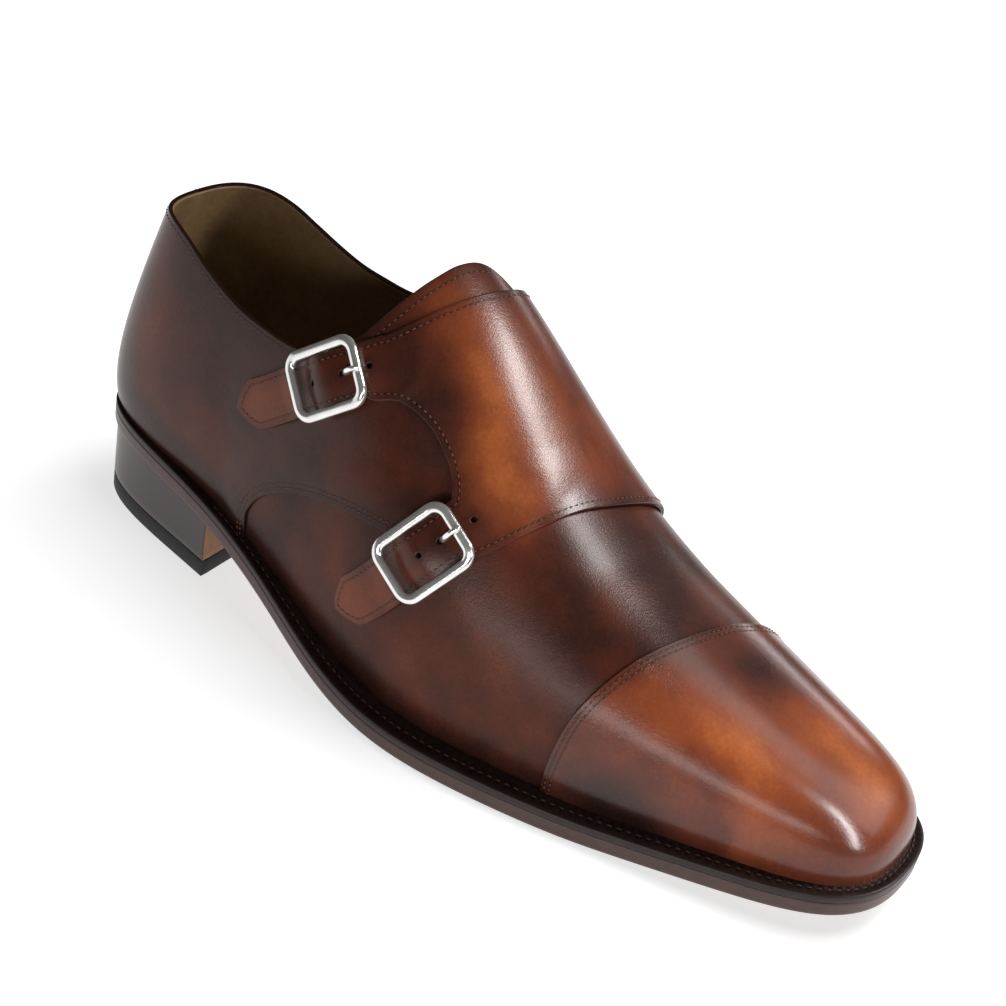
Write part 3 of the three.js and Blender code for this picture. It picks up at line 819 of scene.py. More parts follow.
RUBBER = stained(
    "black heel rubber", (0.006, 0.006, 0.007), (0.016, 0.016, 0.018), 0.6, 300,
    [(1600, 0.6), (600, 0.4)], 0.4, 0.0003, 0.4)
THREAD = stained(
    "brown waxed thread", (0.085, 0.033, 0.018), (0.150, 0.062, 0.033), 0.5, 700,
    [(4000, 0.7), (1500, 0.3)], 0.4, 0.0002, 0.15)
WELT_THREAD = stained(
    "dark waxed thread", (0.022, 0.0105, 0.007), (0.050, 0.024, 0.014), 0.5, 700,
    [(4000, 0.7), (1500, 0.3)], 0.4, 0.0002, 0.2)


def polished_nickel():
    material, tree, shader = new_material("polished nickel")
    shader.inputs["Metallic"].default_value = 0.85
    tint = ramp(tree, noise(tree, 160), [(0.3, (0.80, 0.79, 0.76)), (0.7, (0.90, 0.89, 0.865))])
    tree.links.new(tint, shader.inputs["Base Color"])
    gloss = maths(tree, "ADD", maths(tree, "MULTIPLY", noise(tree, 500), 0.10), 0.09)
    tree.links.new(gloss, shader.inputs["Roughness"])
    grain(tree, shader, [(900, 0.5), (300, 0.5)], 0.05, 0.0002)
    return material


NICKEL = polished_nickel()
print(len(bpy.data.materials), "materials")

# %% [markdown]
# ## Style lines
# These are the shoemaker's lines. A side line is drawn on the shoe as seen from the side, in x
# and z. The others are drawn on the unrolled pattern, in x and girth.

# %% Style lines
TOPLINE = [[8, 102], [18, 103], [30, 103], [40, 101], [49, 97.5], [59, 94], [69, 91.6],
           [79, 90.9], [88, 90.8], [96, 92], [104, 94.6], [112, 98]]
THROAT = [[122, 102], [136, 103], [150, 97], [160, 91], [168, 86.5], [171, 84]]
TONGUE_TOP = [[110, -49], [114, -42], [118, -33], [121, -25], [124.2, -14.4], [125.8, -6],
              [127.6, 1], [131, 6], [137, 11], [146, 15], [158, 17]]
FLAP_TOP = [[104, 56], [113, 45.5], [123, 34], [131, 22.5], [135, 12.9], [136, 4.2],
            [134.6, -4.8], [131.2, -16.4], [125, -29.7], [117.8, -41.6], [114.5, -47.5]]
FLAP_CURVE = [[121, -52.5], [125.8, -50.1], [132.8, -43.4], [142.1, -39.4], [149.6, -39.2],
              [155.2, -41.2], [157.4, -45.5], [156.0, -51]]
FLAP_FRONT = [[166.5, -50], [170.8, -42], [174.5, -33.6], [178.8, -22.2], [182.4, -9.7],
              [185.8, 3], [187.8, 14], [188.2, 24], [186.2, 38], [181.5, 54], [175.5, 70],
              [169.5, 86], [164.5, 101], [161, 118]]
QUARTER_SEAM = [[86, -140], [86.2, -127.5], [86.9, -121.5], [92.1, -112.3], [102.6, -101.8],
                [114.6, -92.3], [128.2, -82.4], [141.1, -73], [153, -63], [164, -52],
                [172, -38], [176, -20]]
CAP_SEAM = [[206, -95], [206.2, -80], [206.8, -66.4], [209.3, -47.6], [214.3, -30.4],
            [220.3, -11.1], [224.8, 7.9], [228.9, 21], [232.2, 38], [234.4, 55], [235.5, 75],
            [235.5, 95]]
STRAPS = {
    "upper": dict(angle=39.7, line=[[124.5, 101.6], [119.5, 97.6], [110.3, 90.5], [98, 81],
                                    [88, 72.8], [78.4, 66]]),
    "lower": dict(angle=57.8, line=[[165.4, 76.4], [162, 71.2], [156.1, 61.3], [148.5, 50],
                                    [141, 39.6], [133, 31]]),
}
STRAP_HALF = 7.0  # half the width of a strap
TIP_LENGTH = 7.0  # length of a strap's blunt point
TIP_POWER = 0.72  # under 1 the point's sides bulge a little
CROWN_REACH = 11.5  # from the buckle's bar to where the strap lies flat again
CROWN_EASE = 6.0  # how much longer the crown is on the flap's side
COLLAR_END, COLLAR_RISE = 104, 0.35  # past this x the collar rises out of the flap's way


def topline(x):
    fine = curve(TOPLINE + THROAT)
    order = np.argsort(fine[:, 0])
    return np.interp(x, fine[order, 0], fine[order, 1], right=-50.0)


def collar_height(x):
    """The collar's height, also where the flap takes over."""
    fine = curve(TOPLINE)
    beyond = np.clip(x - COLLAR_END, 0, None)
    return np.interp(x, fine[:, 0], fine[:, 1]) + beyond * COLLAR_RISE


print("collar height at the back and at the ankle:", topline(10.0).round(1), topline(80.0).round(1))


# %% Places beside the buckles
SEARCH_STEPS = 14


def place_on_side(x, z):
    """The t and v of the spot on the outer side that shows at x, z, found by Newton's steps."""
    t, v, step = np.array(0.04 + x * 0.0014), np.array(0.35), 1e-4
    for _ in range(SEARCH_STEPS):
        here = last_point(t, v)
        by_t = (last_point(t + step, v) - here) / step
        by_v = (last_point(t, v + step) - here) / step
        size = by_t[0] * by_v[2] - by_v[0] * by_t[2]
        miss_x, miss_z = x - here[0], z - here[2]
        t = t + (miss_x * by_v[2] - miss_z * by_v[0]) / size
        v = np.clip(v + (miss_z * by_t[0] - miss_x * by_t[2]) / size, 0, 0.97)
    return t, v


def buckle_frame(strap):
    """Where a buckle sits, and its directions: along the strap to its tip, across it and out."""
    t, v = place_on_side(*strap["line"][2])
    out = last_normal(t, v)
    back = unit(np.array([-1.0, 0, 0]) + out * out[0])
    up = np.cross(back, out)
    up = up if up[2] > 0 else -up
    turn = math.radians(strap["angle"])
    return dict(origin=last_point(t, v), out=out,
                along=back * math.cos(turn) - up * math.sin(turn),
                across=back * math.sin(turn) + up * math.cos(turn))


def at_buckle(spot, u, w, level):
    u, w, level = (np.asarray(a, float)[..., None] for a in (u, w, level))
    return spot["origin"] + u * spot["along"] + w * spot["across"] + level * spot["out"]


BUCKLE_SPOTS = {name: buckle_frame(strap) for name, strap in STRAPS.items()}
for name, spot in BUCKLE_SPOTS.items():
    print(name, "buckle at", spot["origin"].round(1))


# %% Strap outlines
def strap_route(strap):
    """The strap's middle line as points and how far each lies past the buckle."""
    line = curve(strap["line"])
    lengths = lengths_along(line)
    buckle = lengths[np.argmin(np.linalg.norm(line - strap["line"][2], axis=1))]
    return line, lengths - buckle


def strap_outline(strap, before, beyond=0.0, half=STRAP_HALF):
    """A closed outline from a distance before the buckle to the rounded tip."""
    line, past = strap_route(strap)
    ahead = unit(np.gradient(line, axis=0))
    side = np.stack([ahead[:, 1], -ahead[:, 0]], 1)
    share = np.clip((past[-1] - beyond - past) / TIP_LENGTH, 0, 1)
    width = half * share**TIP_POWER
    keep = (past >= before) & (past <= past[-1] - beyond)
    left, right = line + side * width[:, None], line - side * width[:, None]
    return np.concatenate([left[keep], right[keep][::-1]])


def past_buckle(strap, x, z):
    """How far points seen from the side lie past the buckle, measured along the strap."""
    line, past = strap_route(strap)
    nearest, reach = np.full(x.shape, FAR), np.zeros(x.shape)
    for start, end, before in zip(line, line[1:], past):
        away, share = from_straight(start, end, x, z)
        closer = away < nearest
        nearest = np.where(closer, away, nearest)
        reach = np.where(closer, before + share * math.dist(start, end), reach)
    return reach, nearest


for name, strap in STRAPS.items():
    print(name, "strap reaches", strap_route(strap)[1][-1].round(1), "mm past its buckle")

# %% [markdown]
# ## Levels
# Every layer lies at its own level above the last. The flap lies over the tongue on top of the
# foot and sinks to the quarter's level on the inner side, and the straps climb over the hidden
# bars of their buckles. Smooth steps between levels keep the highlights unbroken.

# %% Level of each layer
VAMP_LEVEL = 2.0
QUARTER_LEVEL = 2.1
LAP = 0.8  # extra height where a quarter lies on the vamp
CAP_LEVEL = 3.1
TONGUE_LEVEL = 2.3
FLAP_LEVEL = 4.2
STRAP_LEVEL = 4.9
CROWN = 3.2  # how much a strap rises over its bar
DOME = 0.55  # how much a strap's middle stands above its edges
TIP_DROP = 0.5  # how much its tip sinks
# Each of these starts and ends that far past the buckle.
RAISED, DOMED, DROPPED = (-25, -9), (-22, -8), (13, 20)
LIFT_FADE = (9, 13)  # beside the strap its lift fades over this distance
SEAM_FADE = (4, 16)  # behind a seam the lap fades over this distance
SEAM_SPACING = 3.75
OUT_OF_USE = -1e3  # a value that cuts everything away


def even_level(height):
    return lambda x, s, y, z: np.full(np.shape(x), height)


def lapped_level(seam, x, s):
    """A quarter's level, raised beside its front seam, where it lies on the vamp."""
    near_seam = 1 - smooth_step(from_line(curve(seam, SEAM_SPACING), x, s), *SEAM_FADE)
    return QUARTER_LEVEL + LAP * near_seam


def quarter_level(x, s, y, z):
    return lapped_level(QUARTER_SEAM, x, s)


def strap_lift(strap, x, z):
    """How far a strap rises above the flap, by its distance from the buckle."""
    past, away = past_buckle(strap, x, z)
    reach = np.where(past < 0, CROWN_REACH + CROWN_EASE, CROWN_REACH)
    crown = 0.5 + 0.5 * np.cos(np.pi * np.clip(np.abs(past) / reach, 0, 1))
    raised = smooth_step(past, *RAISED) * (STRAP_LEVEL - FLAP_LEVEL)
    dome = DOME * np.clip(1 - (away / STRAP_HALF) ** 2, 0, 1) * smooth_step(past, *DOMED)
    drop = TIP_DROP * smooth_step(past, *DROPPED)
    return (raised + dome + CROWN * crown - drop) * (1 - smooth_step(away, *LIFT_FADE))


def flap_level(x, s, y, z):
    over_tongue = 1 - smooth_step(s, 16, 52)
    level = FLAP_LEVEL * over_tongue + lapped_level(FLAP_FRONT, x, s) * (1 - over_tongue)
    outer = np.where(s < 0, 1.0, 0.0)
    for strap in STRAPS.values():
        level = level + outer * strap_lift(strap, x, z)
    return level


print("levels from", VAMP_LEVEL, "to", STRAP_LEVEL + CROWN, "mm above the last")

# %% [markdown]
# ## Vamp
# The vamp covers the forefoot. Its back runs under the quarters and the flap, and its front under
# the toe cap, as on a real shoe, so only the rim of the upper leather shows at each seam.

# %% Vamp
FINE_T, FINE_V = 0.0013, 0.009  # about a millimetre


def steps(low, high, step):
    return np.linspace(low, high, int(round((high - low) / step)) + 1)


def closed_by(line, *corners):
    return np.concatenate([curve(line), np.array(corners, float)])


VAMP_BACK = [[74, -140], [76, -122], [84, -108], [100, -94], [124, -80], [140, -66], [160, -44],
             [166, -20], [168, 0], [170, 22], [166, 40], [160, 60], [154, 80], [148, 100],
             [146, 120]]
UNDER_CAP = 9.0


def vamp_outline(points):
    front = np.array(CAP_SEAM, float)[::-1] + [UNDER_CAP, 0]
    outline = np.concatenate([curve(VAMP_BACK), [[146, 150], [244, 150]], curve(front),
                              [[215, -160], [74, -160]]])
    return inside_pattern(outline, points)


vamp_sheet = cut(sheet(steps(0.14, 0.86, FINE_T), steps(0, 1, FINE_V),
                       even_level(VAMP_LEVEL)), vamp_outline)
leather("vamp", vamp_sheet, VAMP_CALF, ["upper"], glow=0.02)

# %% [markdown]
# ## Toe cap
# The cap is one more leather over the front of the vamp, sewn down with two rows.

# %% Toe cap
def ahead_of_cap_seam(points):
    outline = closed_by(CAP_SEAM, [340, 95], [340, -95])
    return inside_pattern(outline, points)


cap_sheet = cut(sheet(steps(0.30, 0.70, FINE_T), steps(0, 1, FINE_V),
                      even_level(CAP_LEVEL)), ahead_of_cap_seam)


def at_cap_seam(points):
    return above_seat(points) > 3


# The glow lifts the stain over the whole cap: partly the cap's own lighter colour, partly painted
# light for its brightly lit top and front.
toe_cap = leather("toe_cap", cap_sheet, CAP_CALF, ["toe_cap"],
                  edge_where=at_cap_seam, glow=0.17)

# %% [markdown]
# ## Outer quarter
# The quarter wraps the heel and lies over the vamp in a long curve that dives under the lower
# strap. Its own back edge meets the inner quarter in the back seam.

# %% Outer quarter
def behind_quarter_seam(points):
    outline = closed_by(QUARTER_SEAM, [176, 10], [-40, 10], [-40, -160], [86, -160])
    return inside_pattern(outline, points)


def outer_quarter_outline(points):
    return np.minimum(behind_quarter_seam(points), topline(points[:, X]) - points[:, Z])


quarter_sheet = cut(sheet(steps(0.0004, 0.32, FINE_T), steps(0, 0.97, FINE_V),
                          quarter_level), outer_quarter_outline)


def quarter_edges(points):
    return above_seat(points) > 2


outer_quarter = leather("outer_quarter", quarter_sheet, CALF, thick=1.3,
                        edge_where=quarter_edges)

# %% [markdown]
# ## Inner quarter, flap and straps
# This is the piece that makes a monk shoe. One leather comes up from the inner side, crosses the
# instep and ends in two pointed straps. Its outline is the union of three: the quarter seen from
# the side, the flap on the pattern, and each strap seen from the side. The straps are cut with
# their holes, so the prongs can pass.

# %% Flap
HOLE_RADIUS = 1.15
STRAP_SIDE = -8  # the straps are cut beyond this girth, on the outer side
INNER_SIDE = 30  # and the inner quarter beyond this one
TIP_WARMTH, WARM_TIP = 0.20, (10, 17)  # past the buckle, in mm
HOLES = {"upper": (-14.2, -6.5, 4.8), "lower": (-16.4, -6.5, 0.6)}


def from_holes(points):
    """How far points lie outside the straps' holes."""
    nearest = np.full(len(points), FAR)
    for name, spot in BUCKLE_SPOTS.items():
        away = points[:, PLACE] - spot["origin"]
        for u in HOLES[name]:
            hole = np.hypot(away @ spot["along"] - u, away @ spot["across"]) - HOLE_RADIUS
            nearest = np.minimum(nearest, hole)
    return nearest


def flap_outline(points):
    x, s, z = points[:, X], points[:, S], points[:, Z]
    pattern = np.concatenate([curve(FLAP_TOP), curve(FLAP_CURVE), curve(FLAP_FRONT),
                              [[150, 135], [100, 135], [96, 80]]])
    value = inside_outline(pattern, x, s)
    seam = closed_by(FLAP_FRONT[9:], [161, 160], [-40, 160], [-40, 40], [170, 40])
    inner = np.minimum(inside_outline(seam, x, s), collar_height(x) - z)
    inner = np.where((s > INNER_SIDE) & (x < 118), inner, OUT_OF_USE)
    value = np.maximum(value, inner)
    for strap in STRAPS.values():
        strip = inside_outline(strap_outline(strap, -20), x, z)
        value = np.maximum(value, np.where(s < STRAP_SIDE, strip, OUT_OF_USE))
    return np.where(s < 0, np.minimum(value, from_holes(points)), value)


STRAP_T, STRAP_V = 0.00085, 0.0058
outer_ts = steps(0.145, 0.33, STRAP_T)
inner_ts = np.concatenate([1 - outer_ts[::-1], steps(0.855, 0.9996, FINE_T)[1:]])
flap_sheet = cut(join(sheet(outer_ts, steps(0.12, 1, STRAP_V), flap_level),
                      sheet(inner_ts, steps(0, 1, FINE_V), flap_level)), flap_outline)


def flap_edges(points):
    return above_seat(points) > 4


def seen_from_below(points):
    return (points[:, S] < INNER_SIDE) & (points[:, X] < 200)


def strap_tips(points):
    """Only the tips of the straps are rubbed warm, past their buckles."""
    warm = np.zeros(len(points))
    for strap in STRAPS.values():
        past, away = past_buckle(strap, points[:, X], points[:, Z])
        tip = smooth_step(past, *WARM_TIP) * (points[:, S] < -40)
        warm = warm + TIP_WARMTH * tip * (away < STRAP_HALF + 1)
    return warm


flap = leather("flap_with_straps", flap_sheet, CALF, ["strap_flap"], thick=1.5,
               radius=0.45, back=seen_from_below, edge_where=flap_edges, glow=0.13,
               extra_warm=strap_tips)

# %% [markdown]
# ## Tongue
# The tongue lies under the flap, and only its stitched edge shows behind the flap's top.

# %% Tongue
def tongue_outline(points):
    outline = closed_by(TONGUE_TOP, [172, 10], [172, -10], [158, -33], [146, -36], [128, -46])
    return inside_pattern(outline, points)


tongue_half = steps(0.15, 0.31, FINE_T)
tongue_halves = [sheet(half, steps(0.25, 1, FINE_V), even_level(TONGUE_LEVEL))
                 for half in (tongue_half, 1 - tongue_half[::-1])]
tongue_sheet = cut(join(*tongue_halves), tongue_outline)


def all_points(points):
    return np.ones(len(points), bool)


def tongue_edges(points):
    return points[:, X] < 128


tongue = leather("tongue", tongue_sheet, CALF, ["tongue"], thick=1.7, radius=0.6,
                 back=all_points, edge_where=tongue_edges, glow=0.12)

# %% [markdown]
# ## Lining and heel tab
# The lining faces the foot, so its sheet is laid just above the last and turned inside out. A
# small tab covers the top of the back seam.

# %% Lining
LINING_LEVEL = 0.25
LINING_STEP = 2
LINING_DROP, LINING_INSET = 0.5, 0.8  # it ends this far below the topline and inside the flap


def lining_outline(points):
    x, s, z = points[:, X], points[:, S], points[:, Z]
    side = topline(x) - LINING_DROP - z
    in_flap = inside_outline(closed_by(FLAP_TOP, [150, -47], [178, -30], [182, 20], [170, 100],
                                       [96, 100]), x, s) - LINING_INSET
    return np.maximum(side, np.where(s > 20, in_flap, OUT_OF_USE))


def inside_out(piece):
    points, faces = piece
    points = points.copy()
    points[:, NORMAL] *= -1
    return points, faces[:, ::-1]


lining_sheet = cut(sheet(steps(0, 1, FINE_T * LINING_STEP), steps(0, 1, FINE_V * LINING_STEP),
                         even_level(LINING_LEVEL)), lining_outline)
leather("lining", inside_out(lining_sheet), LINING, thick=1.2, radius=0.4)

# %% Heel tab
TAB_TOP, TAB_LENGTH, TAB_HALF = 101.4, 21.0, 6.5
HEEL_TAB_LEVEL = 3.0


def heel_tab_outline(points):
    drop = TAB_TOP - points[:, Z]
    share = np.clip(drop / TAB_LENGTH, 0, 1)
    half = TAB_HALF * np.sqrt(np.clip(1 - share**3, 0, 1))
    return np.minimum(half - np.abs(points[:, Y]), np.minimum(drop, TAB_LENGTH - drop))


tab_sheet = cut(sheet(steps(-0.03, 0.03, 0.0008), steps(0.3, 0.75, 0.006),
                      even_level(HEEL_TAB_LEVEL)), heel_tab_outline)
leather("heel_tab", tab_sheet, CALF, thick=0.9, radius=0.3)

# %% Buckle tabs
STRAP_TAB_LEVEL = 3.0


def strap_tab(name):
    strap = STRAPS[name]

    def outline(points):
        shape = strap_outline(strap, -10, beyond=2.2, half=STRAP_HALF + 0.1)
        inside = inside_outline(shape, points[:, X], points[:, Z])
        return np.where(points[:, S] < STRAP_SIDE, inside, OUT_OF_USE)

    whole = sheet(outer_ts, steps(0.12, 0.9, STRAP_V), even_level(STRAP_TAB_LEVEL))
    leather(f"buckle_tab_{name}", cut(whole, outline), CALF,
            [f"buckle_tab_{name}"], thick=0.8, radius=0.25)


for name in STRAPS:
    strap_tab(name)

# %% [markdown]
# ## Stitches
# Each seam is a line at a fixed distance from a cut edge, found on the sheet itself by the same
# splitting of triangles. Small bent capsules are then set along it, one for each stitch. An array
# along a curve could place them, but on the sheet each one also knows which way is out. The
# leather is told where its rows run as well, so that its finish can paint shade along them.

# %% Rows of stitches
def seam_lines(piece, value, distance):
    """Lines on a sheet where a value equals a distance, as places and normals."""
    points, faces = piece
    shifted = value - distance
    inside = shifted > 0
    count = inside[faces].sum(1)
    mixed = faces[(count == 1) | (count == 2)]
    _, odd_in, made, first, second = crossings(points, mixed, inside, shifted)
    following = {}
    starts, ends = np.where(odd_in, first, second), np.where(odd_in, second, first)
    for a, b in zip(starts.tolist(), ends.tolist()):
        following.setdefault(a, []).append(b)
    return [made[run + run[:1] if closed else run] for run, closed in chains(following)]


def even_spots(line, pitch, margin=1.5):
    """Spots at an even pitch along a line: place, direction and normal."""
    place, normal = line[:, PLACE], line[:, NORMAL]
    lengths = lengths_along(place)
    if lengths[-1] < 6 * pitch:
        return np.zeros((0, 9))
    count = int((lengths[-1] - 2 * margin) / pitch)
    at = margin + (np.arange(count) + 0.5) * (lengths[-1] - 2 * margin) / count

    def along(values, where):
        return np.stack([np.interp(where, lengths, values[:, k]) for k in range(3)], 1)

    ahead = unit(along(place, at + 0.6) - along(place, at - 0.6))
    return np.concatenate([along(place, at), ahead, unit(along(normal, at))], 1)


def ring_faces(rings, count):
    """Four-cornered faces between rings of points that follow each other."""
    index = np.arange(count)
    following = (index + 1) % count
    faces = []
    for low in range(0, (rings - 1) * count, count):
        a, b = low + index, low + following
        faces += np.stack([a, b, b + count, a + count], 1).tolist()
    return faces


STITCH_RINGS = [(-1.0, 0.0), (-0.8, 0.75), (0.0, 1.0), (0.8, 0.75), (1.0, 0.0)]
STITCH_SIDES = 6


def stitch_mesh(spots, half_length, radius, lift):
    """One capsule a spot, with its ends bent down into the leather."""
    turn = np.arange(STITCH_SIDES) * 2 * math.pi / STITCH_SIDES
    along, side, up = [], [], []
    for share, size in STITCH_RINGS:
        along.append(np.full(STITCH_SIDES, share * half_length))
        side.append(np.cos(turn) * radius * size)
        up.append(np.sin(turn) * radius * size + lift - 1.3 * radius * share**2)
    along, side, up = (np.concatenate(part) for part in (along, side, up))
    faces = np.array(ring_faces(len(STITCH_RINGS), STITCH_SIDES))
    ahead, normal = spots[:, None, 3:6], spots[:, None, 6:9]
    across = np.cross(normal, ahead)
    points = (spots[:, None, 0:3] + ahead * along[None, :, None] + across * side[None, :, None]
              + normal * up[None, :, None])
    shift = (np.arange(len(spots)) * len(along))[:, None, None]
    return points.reshape(-1, 3), (faces[None] + shift).reshape(-1, 4)


STITCH_PITCH = 2.0
STITCH = dict(half_length=0.74, radius=0.25, lift=0.06)
NO_ROW = 2 * ROW_AT  # the stored value far from any row


def mark_rows(target, piece, where, distances):
    """Tells a piece's finish where its rows lie, for the painted shade along them: the value is
    ROW_AT on a row, and counts in mm.
    """
    mesh = target.data
    places = np.empty(3 * len(mesh.vertices))
    mesh.vertices.foreach_get("co", places)
    points = np.zeros((len(mesh.vertices), COORDINATES))
    points[:, PLACE] = places.reshape(-1, 3) / METRE + CENTRE
    away = edge_distance(piece, where, points)
    for key, distance in zip(("row_one", "row_two"), distances):
        layer = mesh.attributes.get(key) or mesh.attributes.new(key, "FLOAT", "POINT")
        before = np.empty(len(points))
        layer.data.foreach_get("value", before)
        now = np.minimum(ROW_AT + away - distance, NO_ROW)
        layer.data.foreach_set("value", np.where(before > 0, np.minimum(before, now), now))


def stitch_rows(name, target, piece, where, distances):
    mark_rows(target, piece, where, distances)
    value = edge_distance(piece, where)
    spots = []
    for distance in distances:
        for line in seam_lines(piece, value, distance):
            spots.append(even_spots(line, STITCH_PITCH))
    spots = np.concatenate(spots)
    points, faces = stitch_mesh(spots, **STITCH)
    add_mesh(name, points, faces, THREAD)
    print(f"{len(spots)} stitches")


ON_EDGE = 0.5  # nearer to an outline than this counts as on it


def cap_seam_edge(points):
    return (np.abs(ahead_of_cap_seam(points)) < ON_EDGE) & at_cap_seam(points)


def quarter_seam_edge(points):
    return (np.abs(behind_quarter_seam(points)) < ON_EDGE) & quarter_edges(points)


def collar_edge(points):
    return np.abs(topline(points[:, X]) - points[:, Z]) < ON_EDGE


def flap_stitched_edge(points):
    at_back = (points[:, X] < 12) & (points[:, Z] < 95)
    return flap_edges(points) & (from_holes(points) >= 1) & ~at_back


stitch_rows("toe_cap_stitches", toe_cap, cap_sheet, cap_seam_edge, (1.0, 2.4))
stitch_rows("quarter_seam_stitches", outer_quarter, quarter_sheet, quarter_seam_edge, (1.3, 2.7))
stitch_rows("collar_stitches", outer_quarter, quarter_sheet, collar_edge, (1.5,))
stitch_rows("flap_stitches", flap, flap_sheet, flap_stitched_edge, (1.5,))
stitch_rows("tongue_stitches", tongue, tongue_sheet, tongue_edges, (2.4,))

# %% [markdown]
# ## Buckles
# Each buckle is a square wire frame with soft corners, a bar across its middle under the strap
# and a round prong through the strap's hole onto the frame. A curve with a bevel would make such
# a wire; a swept section keeps it upright all the way and lets the prong taper.

# %% Swept wires
BUCKLE = dict(width=20.9, wire=3.1, height=2.3, corner=3.9, level=7.1)
BUCKLE_LENGTH = {"upper": 27.0, "lower": 28.0}
BAR_RADIUS, BAR_LEVEL = 0.8, 4.5
BAR_BEND, BAR_STRAIGHT, BAR_RISE = 1.1, 2.0, 0.3
PRONG_RADIUS = 0.85
PRONG_LINE = [[-2.2, 4.1], [-4.2, 4.1], [-6.2, 5.3], [-7.6, 7.1], [-9.4, 8.6], [-11.6, 9.35],
              [-13.2, 9.3], [-14.6, 8.7]]
PRONG_TAPER, TAPERED = 0.2, (0.55, 1.0)  # how much it thins, and over which share of it
PRONG_END = 0.55  # its last ring is this much smaller again
PRONG_SPACING = 0.4167
WIRE_SIDES = 20
SQUARENESS = 0.82  # under 1 flattens the four faces of the wire a little


def wire(path, out, half_width, half_height, closed, sizes=None):
    """A wire's points and faces; its section keeps one side towards out."""
    count = len(path)
    index = np.arange(count)
    if closed:
        ahead = path[(index + 1) % count] - path[(index - 1) % count]
    else:
        ahead = np.gradient(path, axis=0)
    ahead = unit(ahead)
    side = unit(np.cross(ahead, out))
    up = np.cross(side, ahead)
    turn = np.arange(WIRE_SIDES) * 2 * math.pi / WIRE_SIDES
    wide = np.sign(np.cos(turn)) * np.abs(np.cos(turn)) ** SQUARENESS * half_width
    tall = np.sign(np.sin(turn)) * np.abs(np.sin(turn)) ** SQUARENESS * half_height
    size = np.ones(count) if sizes is None else np.asarray(sizes)
    points = (path[:, None] + side[:, None] * (wide[None] * size[:, None])[..., None]
              + up[:, None] * (tall[None] * size[:, None])[..., None])
    faces = []
    for ring in range(count if closed else count - 1):
        a0, b0 = ring * WIRE_SIDES, ((ring + 1) % count) * WIRE_SIDES
        for k in range(WIRE_SIDES):
            n = (k + 1) % WIRE_SIDES
            faces.append([a0 + k, b0 + k, b0 + n, a0 + n])
    if not closed:
        faces.append(list(range(WIRE_SIDES)))
        end = (count - 1) * WIRE_SIDES
        faces.append([end + k for k in reversed(range(WIRE_SIDES))])
    return points.reshape(-1, 3), faces


def merge(*parts):
    points, faces, start = [], [], 0
    for some_points, some_faces in parts:
        points.append(some_points)
        faces += [[k + start for k in face] for face in some_faces]
        start += len(some_points)
    return np.concatenate(points), faces


def rounded_rectangle(half_length, half_width, corner, per_corner=14, per_side=10):
    arcs, line = [], []
    for quarter, signs in enumerate([(1, 1), (-1, 1), (-1, -1), (1, -1)]):
        turn = (quarter + np.linspace(0, 1, per_corner)) * math.pi / 2
        centre = np.array(signs) * (half_length - corner, half_width - corner)
        arcs.append(centre + corner * np.stack([np.cos(turn), np.sin(turn)], 1))
    for arc, following in zip(arcs, arcs[1:] + arcs[:1]):
        line += [*arc, *np.linspace(arc[-1], following[0], per_side + 1)[1:-1]]
    return np.array(line)


def buckle(name):
    spot = BUCKLE_SPOTS[name]
    half_length = (BUCKLE_LENGTH[name] - BUCKLE["wire"]) / 2
    half_width = (BUCKLE["width"] - BUCKLE["wire"]) / 2
    u, w = rounded_rectangle(half_length, half_width, BUCKLE["corner"]).T
    ring = wire(at_buckle(spot, u, w, np.full(len(u), BUCKLE["level"])), spot["out"],
                BUCKLE["wire"] / 2, BUCKLE["height"] / 2, True)
    half_bar = np.array([half_width, half_width - BAR_BEND, half_width - BAR_STRAIGHT])
    half_levels = np.array([BUCKLE["level"], BAR_LEVEL + BAR_RISE, BAR_LEVEL])
    across = np.concatenate([-half_bar, half_bar[::-1]])
    levels = np.concatenate([half_levels, half_levels[::-1]])
    bar_line = at_buckle(spot, 0 * across, across, levels)
    bar = wire(bar_line, spot["along"], BAR_RADIUS, BAR_RADIUS, False)
    points, faces = merge(ring, bar)
    add_mesh(f"buckle_{name}", points, faces, NICKEL, [f"buckle_{name}"])


def prong(name):
    spot = BUCKLE_SPOTS[name]
    line = curve(PRONG_LINE, PRONG_SPACING)
    path = at_buckle(spot, line[:, 0], 0 * line[:, 0], line[:, 1])
    share = np.linspace(0, 1, len(path))
    sizes = 1.0 - PRONG_TAPER * smooth_step(share, *TAPERED)
    sizes[-1] *= PRONG_END
    points, faces = wire(path, spot["across"], PRONG_RADIUS, PRONG_RADIUS, False, sizes)
    add_mesh(f"prong_{name}", points, faces, NICKEL, [f"prong_{name}"])


for name in STRAPS:
    buckle(name)
    prong(name)

# %% [markdown]
# ## Welt and outsole
# The welt is a strip stitched around the edge, with a groove in which each stitch lies between
# two small ridges left by the wheel. The outsole is trimmed flush with it. Both are one section
# swept around the shoe, at the same margin that the last's stations give.

# %% Sole edge
WELT = 2.3  # thickness of the welt
HEEL_BREAST = 71  # x of the heel's front face
SOLE_STEPS = 1500


def sole_edge(t, inset):
    """Plan points on the sole's edge, drawn in by an inset."""
    step = 1e-3
    place = on_last(t, 0.0, WALL)
    along = on_last(t + step, 0.0, WALL) - on_last(t - step, 0.0, WALL)
    out = unit(np.stack([along[:, 1], -along[:, 0]], 1))
    return place[:, :2] + out * (around("edge", t) - inset)[:, None]


def swept(rows):
    """Rings of a section around the shoe. Each row gives plan points and their heights."""
    rings = [np.concatenate([plan, height[:, None]], 1) for plan, height in rows]
    return np.concatenate(rings), ring_faces(len(rings), len(rings[0]))


